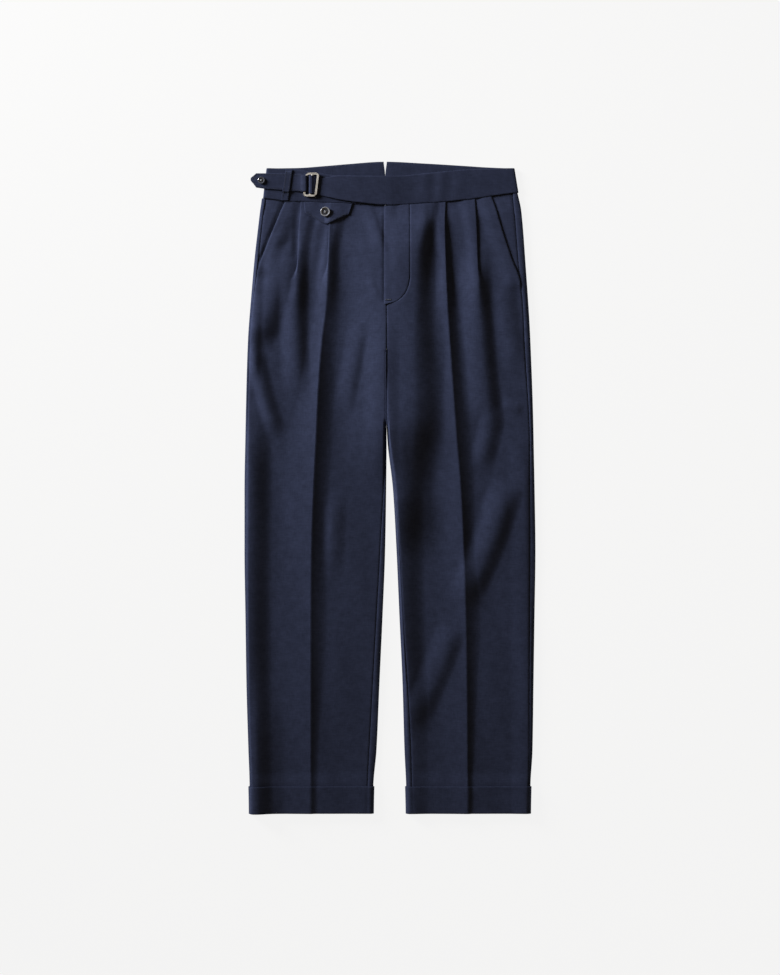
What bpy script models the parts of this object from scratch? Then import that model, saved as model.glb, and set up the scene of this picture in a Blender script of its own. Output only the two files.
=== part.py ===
"""Pleated dress trousers laid flat on their backs, front side up.

Sizes in this file are millimetres, and the meshes are made in metres. Three directions
are used throughout: x runs across the garment (the wearer's left side is at +x), "up" is
the height above the hems along the garment, and z is the height above the surface that
the garment lies on. The origin is at the middle of the garment's underside.

Each piece of cloth is one closed wall. Its middle line is worked out on rows across the
garment, and the wall stands half a thickness to each side of that line.
"""
import math
from collections import namedtuple

import bmesh
import bpy
from mathutils import Vector
from mathutils.bvhtree import BVHTree

MM = 0.001

# Driving sizes
LENGTH = 1075.0          # top of the back waistband to the hem
GAP = 0.3                # between pieces that meet at a seam
CLOTH = 1.1              # one layer of suiting
BAND_CLOTH = 2.4         # waistband: two layers over canvas
TRIM_CLOTH = 1.6         # strap and pocket flap: two layers
LOOP_CLOTH = 1.4         # strap loop and the extension's thin end
CUFF_CLOTH = 1.6         # turn-up
CUFF_HEIGHT = 45.0
CUFF_MIDDLE = 22.0       # a row of the turn-up that goes with a row of the leg
CUFF_SPREAD = 0.3        # the turn-up is this much wider at its free edge
CROTCH_UP = 765.0        # where the four panels meet
ABOVE_ALL = 60.0         # higher than any piece

# Heights of the middle of each layer above the surface
UNDER_Z = CLOTH / 2
TOP_Z = 3.5              # front panel at the edges of a leg
LOWEST_TOP_Z = 2.3       # a hollow in the front panel goes no lower
BACK_BAND_Z = BAND_CLOTH / 2
FRONT_BAND_Z = 4.2
SWELL = 1.2              # how far a leg's top rises from its rolled edges
CUFF_LIFT = 1.9          # the leg lies this much higher inside its turn-up

# Rolled edges of a leg
ROLL = 1.6               # half width of the roll
SHOULDER = 10.0          # the front's folds fade out over this distance from an edge
CROTCH_SHOULDER = 3.0    # the same where the two legs touch
MIDDLE = -5.6            # where the two legs touch

# Pleats
PLEAT_DEPTH = 11.0       # how far the cloth runs under each pleat at the waistband
PLEAT_RISE = 2.5         # two layers more than the plain panel
PLEAT_SHUT_UP = 1000.0   # full depth down to here
PLEAT_EVEN_UP = 928.0    # the under layer ends here
PLEAT_OPEN_UP = 878.0    # and here the pleat has opened into a ramp
PLEAT_GONE_UP = 800.0    # the ramp has run out
RAMP_START = 9.0         # width of the ramp where the pleat has just opened
RAMP_END = 26.0          # and where it has run out
SETTLE = 22.0            # the top layer comes down over this width
SHARE_STRAIGHT = 0.2     # part of the rise that the straight stretch of a fold takes
INNER_MARGIN = 8.5       # from a front's last line of points but one to its inner edge

# Pockets
POCKET_LIFT = 2.1        # the pocket mouth lies this much above its facing
POCKET_FADE = 14.0       # and comes down to the side seam over this much height
POCKET_UNDER = 10.0      # the facing runs this far under the mouth
POCKET_SETTLE = 22.0

# Fly
FLY_EDGE = -9.6          # opening edge
FLY_END_UP = 838.0
FLY_LIFT = 1.5           # the opening edge lies on the other front
FLY_UNDER = 7.0          # that front runs this far under it

Station = namedtuple(
    "Station", "up outer strip crease inner inseam rise left right")
# One row for each level of a leg. outer, crease and inner are distances from the middle of
# the garment; strip and inseam are the widths of the back panel that show along the
# outer and the inner edge; rise, left and right are the height of the pressed crease and
# the widths of its two slopes as seen from above.
RIGHT_LEG = (
    Station(0.0, 231.0, 3.4, 129.5, 28.0, 9.5, 5.0, 38.0, 10.0),
    Station(45.0, 231.4, 3.4, 129.5, 27.4, 9.5, 5.0, 38.0, 10.0),
    Station(104.0, 233.5, 3.4, 129.5, 22.3, 12.0, 5.5, 40.0, 12.0),
    Station(216.0, 236.8, 3.4, 129.5, 17.3, 11.0, 6.0, 42.0, 14.0),
    Station(322.0, 238.4, 3.4, 129.5, 12.4, 10.0, 7.0, 45.0, 17.0),
    Station(434.0, 240.0, 3.4, 128.7, 8.0, 8.3, 7.5, 48.0, 20.0),
    Station(533.0, 240.0, 3.4, 125.4, 6.3, 4.5, 8.5, 50.0, 24.0),
    Station(619.0, 238.6, 3.4, 121.3, 5.75, 3.4, 9.0, 52.0, 27.0),
    Station(705.0, 236.8, 3.4, 117.2, 5.75, 3.4, 9.5, 45.0, 29.0),
    Station(780.0, 234.3, 3.4, 111.0, 5.75, 3.4, 9.5, 38.0, 28.0),
    Station(837.0, 230.2, 3.8, 104.5, 5.75, 3.4, 8.5, 34.0, 26.0),
    Station(909.0, 223.6, 7.0, 101.0, 5.75, 3.4, 6.0, 30.0, 24.0),
    Station(975.0, 215.3, 6.5, 101.0, 5.75, 3.4, 3.0, 30.0, 24.0),
    Station(1012.0, 211.0, 6.4, 103.5, 5.75, 3.4, 1.0, 30.0, 24.0),
)
LEFT_LEG = (
    Station(0.0, 231.0, 3.6, 128.0, 27.4, 9.5, 5.0, 38.0, 9.0),
    Station(45.0, 231.6, 3.8, 128.0, 26.6, 9.5, 5.0, 38.0, 9.0),
    Station(104.0, 235.1, 5.3, 127.5, 23.9, 11.0, 5.5, 40.0, 9.0),
    Station(216.0, 236.8, 7.0, 126.6, 20.6, 8.3, 5.5, 42.0, 10.0),
    Station(322.0, 238.4, 8.0, 125.0, 15.7, 6.0, 6.0, 42.0, 12.0),
    Station(434.0, 240.0, 9.0, 121.8, 10.7, 5.0, 6.5, 40.0, 13.0),
    Station(533.0, 238.6, 8.0, 117.3, 5.8, 4.0, 8.0, 30.0, 17.0),
    Station(619.0, 236.9, 6.6, 110.2, -1.0, 3.4, 8.5, 27.0, 18.0),
    Station(705.0, 235.1, 7.2, 105.1, -5.45, 3.4, 9.0, 24.0, 22.0),
    Station(780.0, 231.6, 10.0, 100.5, -5.45, 3.4, 8.5, 20.0, 20.0),
    Station(837.0, 228.5, 9.5, 99.0, -5.45, 3.4, 7.0, 18.0, 16.0),
    Station(909.0, 223.6, 13.0, 96.5, -5.45, 3.4, 5.0, 18.0, 13.0),
    Station(975.0, 218.6, 14.5, 92.5, -5.45, 3.4, 2.5, 18.0, 11.0),
    Station(1012.0, 213.7, 11.0, 91.6, -5.45, 3.4, 1.0, 18.0, 10.0),
)

Fold = namedtuple("Fold", "x up x_foot up_foot bow left right rise lead tail")
# One row for each soft fold of a front: the ends of its crest, how far the crest bows to
# the viewer's right, the widths of its slopes, its height (a trough is below 0), and the
# parts of its length over which it rises at the top and fades at the foot.
RIGHT_FOLDS = (
    Fold(-217.0, 900.0, -225.5, -30.0, -7.0, 9.0, 25.0, 4.5, 0.12, 0.02),    # outer edge
    Fold(-176.0, 975.0, -199.0, 826.0, 3.0, 26.0, 20.0, 4.0, 0.30, 0.35),    # below the pocket
    Fold(-150.0, 925.0, -147.0, 690.0, -7.0, 30.0, 21.0, 7.0, 0.35, 0.40),   # under pleat one
    Fold(-222.0, 733.0, -183.0, 618.0, 0.0, 14.0, 16.0, 3.5, 0.35, 0.35),    # thigh, slanting in
    Fold(-168.0, 862.0, -171.0, 618.0, -36.0, 20.0, 18.0, -2.0, 0.25, 0.25),  # hollow at the hip
    Fold(-41.0, 835.0, -74.0, 640.0, 0.0, 24.0, 15.0, 2.6, 0.35, 0.35),      # thigh, slanting out
    Fold(-41.0, 1003.0, -17.5, 915.0, 0.0, 18.0, 9.0, 2.6, 0.0, 0.35),       # beside the fly
    Fold(-24.0, 930.0, -20.0, 560.0, 0.0, 34.0, 13.0, 3.2, 0.30, 0.40),      # along the middle
    Fold(-89.0, 545.0, -97.0, 340.0, 0.0, 16.0, 26.0, 1.8, 0.35, 0.45),      # inside of the knee
    Fold(-226.0, 200.0, -217.0, -30.0, 0.0, 12.0, 30.0, 2.6, 0.45, 0.02),    # outer edge, low
)
LEFT_FOLDS = (
    Fold(54.0, 1003.0, 33.0, 845.0, 0.0, 26.0, 30.0, 6.0, 0.0, 0.30),        # beside the fly
    Fold(33.0, 880.0, 9.0, 520.0, 4.0, 26.0, 50.0, 7.0, 0.30, 0.45),         # inside of the thigh
    Fold(13.0, 640.0, 26.0, 250.0, -3.0, 14.0, 34.0, 5.5, 0.35, 0.45),       # inside of the knee
    Fold(25.0, 340.0, 33.0, 150.0, 0.0, 8.0, 18.0, 3.0, 0.35, 0.45),         # inside of the calf
    Fold(142.0, 930.0, 166.0, 628.0, -4.0, 30.0, 26.0, 8.0, 0.25, 0.20),     # under pleat one
    Fold(161.0, 650.0, 142.0, 555.0, 0.0, 22.0, 24.0, 3.0, 0.35, 0.40),      # its run-out
    Fold(178.0, 905.0, 216.0, 705.0, -6.0, 24.0, 24.0, 3.4, 0.30, 0.35),     # hip
    Fold(212.0, 572.0, 122.0, 345.0, -9.0, 36.0, 22.0, 5.5, 0.25, 0.20),     # knee, slanting in
    Fold(101.0, 322.0, 36.0, 135.0, 0.0, 26.0, 18.0, 3.2, 0.25, 0.30),       # calf, slanting in
    Fold(182.0, 688.0, 228.0, 668.0, 0.0, 9.0, 11.0, 2.0, 0.30, 0.30),       # nick at the thigh
    Fold(219.0, 640.0, 226.0, -30.0, 2.0, 28.0, 13.0, 2.6, 0.20, 0.02),      # outer edge
)

PleatLine = namedtuple("PleatLine", "up out")
# Fold edge of the pleat nearer the pocket, as a distance from the middle
RIGHT_PLEAT = (PleatLine(1012.0, 146.0), PleatLine(950.0, 149.8), PleatLine(900.0, 151.6),
               PleatLine(787.0, 156.0), PleatLine(700.0, 150.0), PleatLine(0.0, 168.0))
LEFT_PLEAT = (PleatLine(1012.0, 139.5), PleatLine(950.0, 142.5), PleatLine(900.0, 144.0),
              PleatLine(787.0, 149.5), PleatLine(640.0, 165.0), PleatLine(0.0, 168.0))

SlantPoint = namedtuple("SlantPoint", "up out")
# Pocket mouths
RIGHT_SLANT = (SlantPoint(1014.0, 174.0), SlantPoint(983.0, 184.5), SlantPoint(955.0, 196.0),
               SlantPoint(928.0, 206.5), SlantPoint(896.0, 217.0))
LEFT_SLANT = (SlantPoint(1020.0, 171.0), SlantPoint(992.0, 178.0), SlantPoint(958.0, 188.0),
              SlantPoint(917.0, 201.5), SlantPoint(874.0, 216.0))

Edge = namedtuple("Edge", "x up")
WAIST_SEAM = (Edge(-214.0, 1014.5), Edge(-170.0, 1010.0), Edge(-103.0, 1007.0), Edge(-62.0, 1005.5),
              Edge(-9.0, 1002.5), Edge(40.0, 1005.0), Edge(87.0, 1008.5), Edge(138.0, 1013.5),
              Edge(171.0, 1018.5), Edge(214.0, 1023.5))
FRONT_BAND_TOP = (Edge(-206.0, 1064.0), Edge(-163.0, 1062.5), Edge(-115.0, 1055.5),
                  Edge(-88.0, 1052.0), Edge(-29.0, 1051.0), Edge(17.0, 1051.5), Edge(52.0, 1055.0),
                  Edge(93.0, 1059.0), Edge(128.0, 1062.0), Edge(207.0, 1064.0))
BACK_BAND_TOP = (Edge(-206.0, 1064.0), Edge(-156.0, 1064.5), Edge(-105.0, 1068.0),
                 Edge(-70.0, 1071.0), Edge(-8.0, 1075.0), Edge(57.0, 1072.0), Edge(123.0, 1068.0),
                 Edge(161.0, 1065.5), Edge(207.0, 1064.0))
SEAM_LEVEL = 1002.5      # the rows of the panels are straight across below this
SEAM_BLEND = 150.0       # and take the waist seam's curve over this much height
BACK_SEAM_SIDE = 205.0   # the underside's seam is straight as far as this

FlyPoint = namedtuple("FlyPoint", "up x")
FLY_CURVE = (FlyPoint(838.0, -7.6), FlyPoint(843.0, 9.0), FlyPoint(849.0, 18.0),
             FlyPoint(858.0, 25.5), FlyPoint(870.0, 30.5), FlyPoint(886.0, 33.0),
             FlyPoint(1010.0, 32.5))

# Rows of the panels, up the garment
LEG_ROWS = (1.5, 22.0, 45.0, 60.0, 85.0, 125.0, 170.0, 216.0, 262.0, 308.0, 352.0, 396.0, 438.0,
            480.0, 520.0, 556.0, 592.0, 626.0, 660.0, 692.0, 722.0, 746.0, 762.0)
TOP_ROWS = (765.0, 782.0, 800.0, 820.0, 838.0, 843.0, 850.0, 860.0, 872.0, 882.0, 893.0, 904.0,
            916.0, 930.0, 950.0, 976.0, 1002.2)

# Waistband
NOTCH_TOP = (-10.4, -5.4)      # the notch at the centre back, at the top edge
NOTCH_FOOT = (-8.2, -7.6)      # and where it has closed
NOTCH_START = 0.7              # part of the band's height below the notch
RIGHT_BAND_END = -15.0         # hidden under the extension

BAND_ROWS = 4
BAND_SIDE_RIGHT = (-209.5, -203.8)   # outer edge of the band, at its foot and at its top
BAND_SIDE_LEFT = (212.0, 205.4)
BAND_BACK_COLUMNS = 5
BAND_FRONT_COLUMNS = 6

BandSpot = namedtuple("BandSpot", "x z")
# The left half crosses the front and climbs on to the right half
LEFT_BAND_FRONT = (BandSpot(165.0, 4.2), BandSpot(125.0, 4.2), BandSpot(95.0, 4.2),
                   BandSpot(65.0, 4.2), BandSpot(40.0, 4.3), BandSpot(24.0, 4.8),
                   BandSpot(10.0, 5.8))

BandColumn = namedtuple("BandColumn", "x low high z wall")
# The extension from the centre front to the buckle
EXTENSION = (
    BandColumn(-2.0, 1002.9, 1051.2, 6.6, 2.4),
    BandColumn(-20.0, 1003.8, 1051.0, 7.0, 2.4),
    BandColumn(-60.0, 1008.0, 1051.3, 7.0, 2.4),
    BandColumn(-88.0, 1012.6, 1051.6, 7.0, 2.2),
    BandColumn(-104.0, 1016.4, 1048.6, 6.7, 1.8),
    BandColumn(-113.0, 1019.0, 1047.0, 6.5, 1.4),
    BandColumn(-120.6, 1021.6, 1049.0, 6.5, 1.4),
    BandColumn(-122.6, 1022.0, 1050.0, 7.6, 1.4),
    BandColumn(-124.6, 1022.0, 1050.5, 9.4, 1.4),
    BandColumn(-126.6, 1022.0, 1050.5, 10.2, 1.4),
    BandColumn(-130.2, 1022.0, 1050.5, 10.0, 1.4),
    BandColumn(-131.8, 1022.0, 1050.5, 9.0, 1.4),
    BandColumn(-132.4, 1022.0, 1050.5, 7.2, 1.4),
)

StrapColumn = namedtuple("StrapColumn", "x low high z")
STRAP = (
    StrapColumn(-229.7, 1044.4, 1046.8, 5.4),
    StrapColumn(-225.0, 1037.9, 1051.4, 5.7),
    StrapColumn(-220.5, 1031.8, 1055.3, 6.0),
    StrapColumn(-206.0, 1029.6, 1055.2, 6.5),
    StrapColumn(-175.0, 1027.4, 1054.9, 6.5),
    StrapColumn(-156.0, 1025.7, 1054.6, 6.6),
    StrapColumn(-150.0, 1025.2, 1054.5, 7.2),
    StrapColumn(-145.0, 1024.9, 1052.0, 8.6),
    StrapColumn(-141.5, 1024.8, 1051.0, 9.1),
    StrapColumn(-139.2, 1024.8, 1051.0, 8.4),
    StrapColumn(-138.6, 1024.8, 1051.0, 7.2),
)

LoopRow = namedtuple("LoopRow", "up x z")
LOOP = (
    LoopRow(1061.5, -166.4, 6.4),
    LoopRow(1058.6, -166.8, 6.6),
    LoopRow(1056.6, -167.1, 8.2),
    LoopRow(1052.0, -167.8, 8.4),
    LoopRow(1032.0, -170.6, 8.4),
    LoopRow(1025.2, -171.6, 8.2),
    LoopRow(1022.6, -171.9, 6.6),
    LoopRow(1010.8, -173.7, 6.4),
)
LOOP_WIDTH = 11.0

# Buckle
BUCKLE_LEFT = -143.4
BUCKLE_RIGHT = -114.4
BUCKLE_LOW = 1016.8
BUCKLE_HIGH = 1056.0
BUCKLE_BAR = 4.0
BUCKLE_WALL = 2.4
BUCKLE_CORNER = 3.2            # radius
BUCKLE_DEEP = (-4.0, 4.0)      # a cut right through the frame
PIN_RIGHT = -140.6             # right side of the hidden bar that the strap holds
PIN_WALL = 1.8
CENTRE_BAR = (-130.0, -126.4)
BUCKLE_Z = 8.0                 # height of the frame's middle at the centre bar
BUCKLE_TILT = math.radians(4.5)

# Fob pocket flap: its lower edge from the viewer's left, below the waist seam
FlapPoint = namedtuple("FlapPoint", "x_top x_foot drop")
FLAP = (
    FlapPoint(-141.9, -139.6, 14.0),
    FlapPoint(-131.0, -128.0, 22.5),
    FlapPoint(-119.0, -115.5, 31.5),
    FlapPoint(-110.0, -108.0, 34.0),
    FlapPoint(-101.5, -102.0, 34.0),
    FlapPoint(-92.0, -92.5, 29.5),
    FlapPoint(-82.0, -82.5, 24.5),
    FlapPoint(-72.0, -72.5, 19.5),
    FlapPoint(-61.9, -68.5, 17.5),
)
FLAP_ROWS = 5
FLAP_CLEAR = 0.55              # above the highest cloth under it
FLAP_FEEL_ACROSS = (-5.0, -2.5, 0.0, 2.5, 5.0)   # where that cloth is felt round a point
FLAP_FEEL_ALONG = (-3.0, 0.0, 3.0)

Button = namedtuple("Button", "name x up diameter height sides")
STRAP_BUTTON = Button("strap_button", -212.0, 1043.6, 11.5, 2.4, 20)
FOB_BUTTON = Button("fob_button", -106.6, 991.6, 16.0, 3.0, 24)
BUTTON_RIM = 0.16              # of the diameter
BUTTON_FOOT = 0.75             # of the radius
BUTTON_DISH = 0.35             # of the height
BUTTON_HOLE = 0.11             # diameter of a thread hole, of the button's
BUTTON_HOLE_SPREAD = 0.12      # from the button's centre to a hole, each way

# Colours, roughness and metallic value
CLOTH_COLOUR = (0.028, 0.034, 0.060, 1.0)
INSIDE_COLOUR = (0.024, 0.029, 0.052, 1.0)
METAL_COLOUR = (0.72, 0.70, 0.66, 1.0)
HORN_COLOUR = (0.045, 0.045, 0.055, 1.0)


def clear_scene():
    """Remove what the scene holds."""
    for item in list(bpy.data.objects):
        bpy.data.objects.remove(item, do_unlink=True)


def lerp(a, b, t):
    return a + (b - a) * t


def smooth(t):
    """0 below 0, 1 above 1, and an even curve between."""
    t = min(1.0, max(0.0, t))
    return t * t * (3.0 - 2.0 * t)


def read(table, key, value, column):
    """Read a column of a table along a smooth curve through its rows."""
    keys = [getattr(row, key) for row in table]
    values = [getattr(row, column) for row in table]
    if keys[0] > keys[-1]:
        keys.reverse()
        values.reverse()
    if value <= keys[0]:
        return values[0]
    if value >= keys[-1]:
        return values[-1]
    i = max(k for k in range(len(keys) - 1) if keys[k] <= value)
    step = keys[i + 1] - keys[i]
    t = (value - keys[i]) / step

    def slope(k):
        if k <= 0 or k >= len(keys) - 1:
            return 0.0
        before = (values[k] - values[k - 1]) / (keys[k] - keys[k - 1])
        after = (values[k + 1] - values[k]) / (keys[k + 1] - keys[k])
        if before * after <= 0.0:
            return 0.0
        return 2.0 * before * after / (before + after)

    low = slope(i) * step
    high = slope(i + 1) * step
    t2 = t * t
    t3 = t2 * t
    return ((2 * t3 - 3 * t2 + 1) * values[i] + (t3 - 2 * t2 + t) * low
            + (3 * t2 - 2 * t3) * values[i + 1] + (t3 - t2) * high)


def across(edge, x):
    """Height above the hem of one of the curves that run across the waist."""
    return read(edge, "x", x, "up")


def front_seam(x):
    """Waist seam on the upper side."""
    return across(WAIST_SEAM, x)


def back_seam(x):
    """Waist seam on the underside: straight from the middle to each side."""
    side = math.copysign(BACK_SEAM_SIDE, x - MIDDLE)
    if abs(x) >= BACK_SEAM_SIDE:
        return front_seam(x)
    return lerp(SEAM_LEVEL, front_seam(side), (x - MIDDLE) / (side - MIDDLE))


def height_at(x, row, seam=front_seam):
    """Where a row of the panels lies at x: near the waist it takes the seam's curve."""
    blend = smooth((row - (SEAM_LEVEL - SEAM_BLEND)) / SEAM_BLEND)
    return row + (seam(x) - SEAM_LEVEL) * blend


class Leg:
    """Sizes of one leg and of the half of the hips above it."""

    def __init__(self, side, stations, folds, pleat, slant):
        self.side = side             # -1 for the wearer's right, 1 for the left
        self.stations = stations
        self.folds = folds
        self.pleat = pleat
        self.slant = slant

    def at(self, up, column):
        return read(self.stations, "up", up, column)

    def seam_out(self, up):
        """Side seam, as a distance from the middle."""
        return self.at(up, "outer") - self.at(up, "strip")

    def front_edge(self, up):
        """Outer edge of the front: the pocket mouth, and below it the side seam."""
        if up <= self.slant[-1].up:
            return self.seam_out(up) - GAP / 2
        mouth = read(self.slant, "up", up, "out")
        return min(mouth, self.seam_out(up) - GAP / 2)

    def inseam_out(self, up):
        """Inner edge of the front below the crotch."""
        return self.at(up, "inner") + self.at(up, "inseam")

    def window(self, out, up):
        """0 at the rolled edges of the leg and 1 inside them."""
        outer = smooth((self.at(up, "outer") - out) / SHOULDER)
        shoulder = lerp(CROTCH_SHOULDER, SHOULDER, smooth((CROTCH_UP - up) / 200.0))
        inner = smooth((out - self.at(up, "inner")) / shoulder)
        joined = smooth((up - CROTCH_UP + 20.0) / 40.0)
        return outer * max(inner, joined)

    def relief(self, x, up):
        """Height of the crease and the soft folds at a point of the front."""
        out = x * self.side
        crease = self.at(up, "crease") * self.side
        toward = x - crease
        width = self.at(up, "left") if toward < 0.0 else self.at(up, "right")
        total = self.at(up, "rise") * max(0.0, 1.0 - abs(toward) / width) ** 1.6
        for fold in self.folds:
            total += fold_height(fold, x, up)
        near_waist = lerp(0.35, 1.0, smooth((SEAM_LEVEL - up) / 70.0))
        return (total * near_waist + SWELL) * self.window(out, up)

    def top(self, x, up):
        """Middle of the front's cloth, without the layers of its pleats."""
        z = TOP_Z + self.relief(x, up)
        z = 0.5 * (z + LOWEST_TOP_Z + math.hypot(z - LOWEST_TOP_Z, 0.6))
        return z + cuff_lift(up)

    def pocket_lift(self, out, up):
        """The mouth of the pocket lies on its facing."""
        fade = smooth((up - self.slant[-1].up + POCKET_FADE) / POCKET_FADE)
        from_mouth = read(self.slant, "up", up, "out") - out
        return POCKET_LIFT * fade * (1.0 - smooth((from_mouth - POCKET_UNDER - 1.0) / POCKET_SETTLE))


def fold_height(fold, x, up):
    """Height that a soft fold adds at a point."""
    along_x = fold.x_foot - fold.x
    along_up = fold.up_foot - fold.up
    length = math.hypot(along_x, along_up)
    along_x /= length
    along_up /= length
    s = ((x - fold.x) * along_x + (up - fold.up) * along_up) / length
    if s > 1.0 or (s < 0.0 and fold.lead > 0.0):
        return 0.0
    s = max(0.0, s)
    across_fold = (x - fold.x) * -along_up + (up - fold.up) * along_x
    across_fold -= fold.bow * 4.0 * s * (1.0 - s)
    width = fold.left if across_fold < 0.0 else fold.right
    t = across_fold / width
    if abs(t) >= 1.0:
        return 0.0
    ends = smooth((1.0 - s) / fold.tail)
    if fold.lead > 0.0:
        ends *= smooth(s / fold.lead)
    return fold.rise * ends * (1.0 - t * t) ** 2


def cuff_lift(up):
    """The hem lies on the turn-up's under layer."""
    return CUFF_LIFT * (1.0 - smooth((up - CUFF_HEIGHT - 2.0) / 24.0))


def pleat_state(up):
    """2 where the pleat is full, 1 where its under layer ends, 0 where it has opened."""
    if up >= PLEAT_EVEN_UP:
        return 1.0 + min(1.0, (up - PLEAT_EVEN_UP) / (PLEAT_SHUT_UP - PLEAT_EVEN_UP))
    return max(0.0, (up - PLEAT_OPEN_UP) / (PLEAT_EVEN_UP - PLEAT_OPEN_UP))


def pleat_rise(up):
    return PLEAT_RISE * smooth((up - PLEAT_GONE_UP) / (PLEAT_OPEN_UP - PLEAT_GONE_UP))


def pleat_turn(angle, overlap, rise):
    """Middle line of a pleat from its under layer to its fold edge.

    The line turns up through the angle, runs straight and turns back. It is given as
    (distance outward from the fold edge, height above the under layer).
    """
    straight = SHARE_STRAIGHT * rise + overlap
    drop = 0.0 if angle > 3.14 else SHARE_STRAIGHT * rise * math.sin(angle)
    radius = (rise - drop) / (2.0 * (1.0 - math.cos(angle)))
    steps = [angle * k / 3.0 for k in range(4)]
    points = [(radius * math.sin(b), rise - radius + radius * math.cos(b)) for b in steps]
    end_x, end_z = points[-1]
    end_x += straight * math.cos(angle)
    end_z -= drop
    centre_x = end_x + radius * math.sin(angle)
    centre_z = end_z + radius * math.cos(angle)
    for b in reversed(steps):
        points.append((centre_x - radius * math.sin(b), centre_z - radius * math.cos(b)))
    points.reverse()
    return points


def pleat_points(up):
    """Eight points of a pleat's middle line at one level."""
    state = pleat_state(up)
    rise = pleat_rise(up)
    width = lerp(RAMP_END, RAMP_START, smooth((up - PLEAT_GONE_UP) / (PLEAT_OPEN_UP - PLEAT_GONE_UP)))
    ramp = [(width * (7 - k) / 7.0, rise * smooth(k / 7.0)) for k in range(8)]
    if state >= 1.0:
        return pleat_turn(math.pi, (state - 1.0) * PLEAT_DEPTH, rise)
    least = 1.0 / 3.0
    if state >= least:
        return pleat_turn(math.pi * state, 0.0, rise)
    turned = pleat_turn(math.pi * least, 0.0, PLEAT_RISE)
    t = state / least
    return [(lerp(r[0], p[0], t), lerp(r[1], p[1], t)) for r, p in zip(ramp, turned)]


def settle(out, foot, fold_edge, rise):
    """Height of a pleat's top layer as it comes down to the panel again."""
    start = min(foot, fold_edge) - 1.5
    return rise * (1.0 - smooth((start - out) / SETTLE))


def front_row(leg, row, inner_out):
    """Middle line of a front on one row, from the pocket mouth or side seam inward."""
    turns = pleat_points(row)
    rise = pleat_rise(row)
    first = read(leg.pleat, "up", row, "out")
    second = leg.at(row, "crease")
    edge = leg.front_edge(row)
    columns = []

    near = max(first + turns[0][0], first) + 2.0
    for k in range(3):
        columns.append((lerp(edge, near, k / 2.0), 0.0))
    for outward, layer in turns:
        columns.append((first + outward, layer))
    foot = first + turns[0][0]
    near = max(second + turns[0][0], second) + 2.0
    for k in range(1, 4):
        out = lerp(first, near, k / 3.0)
        columns.append((out, settle(out, foot, first, rise)))
    for outward, layer in turns:
        columns.append((second + outward, layer))
    foot = second + turns[0][0]
    for k in range(1, 6):
        out = lerp(second, inner_out + INNER_MARGIN, k / 5.0)
        columns.append((out, settle(out, foot, second, rise)))
    columns.append((inner_out, 0.0))

    points = []
    for out, layer in columns:
        x = out * leg.side
        up = height_at(x, row)
        z = leg.top(x, up) + layer + leg.pocket_lift(out, row)
        points.append((x, up, z))
    return points


def arc(centre_x, centre_z, half_width, half_height, start, end, count):
    """Points of an elliptical arc, with angles from the upright."""
    points = []
    for k in range(count):
        a = lerp(start, end, k / (count - 1.0))
        points.append((centre_x + half_width * math.sin(a), centre_z + half_height * math.cos(a)))
    return points


def back_row(leg, row):
    """Middle line of a back on one row: side seam, roll, underside and inner edge."""
    side = leg.side
    lift = cuff_lift(row)
    under = UNDER_Z + lift
    outer = leg.at(row, "outer")
    line = []

    seam = leg.seam_out(row) + GAP / 2
    turn = outer - ROLL - CLOTH / 2
    for out in (seam, lerp(seam, turn, 0.55)):
        line.append((out, leg.top(out * side, row), front_seam))
    top = leg.top(turn * side, row)
    for out, z in arc(turn, (top + under) / 2, ROLL, (top - under) / 2, 0.0, math.pi, 5):
        line.append((out, z, front_seam))

    if row > CROTCH_UP - 1.0:
        middle = MIDDLE * side + GAP / 2
        spread = (7.6, 6.4, 5.2, 4.0, 2.8, 1.5, 0.0)
        inner = [(middle + step, under) for step in spread]
        last = middle + spread[0]
    else:
        edge = leg.at(row, "inner")
        turn_in = edge + ROLL + CLOTH / 2
        seam_in = leg.inseam_out(row) - GAP / 2
        top = leg.top(turn_in * side, row)
        inner = arc(turn_in, (top + under) / 2, -ROLL, (top - under) / 2, math.pi, 0.0, 5)
        for out in (lerp(turn_in, seam_in, 0.45), seam_in):
            inner.append((out, leg.top(out * side, row)))
        last = turn_in
    for k in (1, 2):
        line.append((lerp(turn, last, k / 3.0), under, back_seam))
    line += [(out, z, back_seam) for out, z in inner]
    return [(out * side, height_at(out * side, row, seam), z) for out, z, seam in line]


def wall_normals(points, ring=False):
    """Unit normals, in the plane across the garment, of a row's middle line."""
    normals = []
    count = len(points)
    for k in range(count):
        total = Vector((0.0, 0.0))
        for a, b in ((k - 1, k), (k, k + 1)):
            if not ring and (a < 0 or b >= count):
                continue
            run = Vector((points[b % count][0] - points[a][0], points[b % count][2] - points[a][2]))
            if run.length > 1e-6:
                total += run.normalized()
        total.normalize()
        normals.append((-total.y, total.x))
    return normals


def to_metres(x, up, z):
    return Vector((x * MM, (up - LENGTH / 2) * MM, z * MM))


def add_object(name, bm, material, smooth_shade=True):
    """Make an object of a finished bmesh whose faces are to point out."""
    bmesh.ops.recalc_face_normals(bm, faces=bm.faces)
    mesh = bpy.data.meshes.new(name)
    bm.to_mesh(mesh)
    bm.free()
    if smooth_shade:
        mesh.shade_smooth()
        mesh.set_sharp_from_angle(angle=math.radians(40.0))
    item = bpy.data.objects.new(name, mesh)
    item.data.materials.append(material)
    bpy.context.scene.collection.objects.link(item)
    return item


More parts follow.
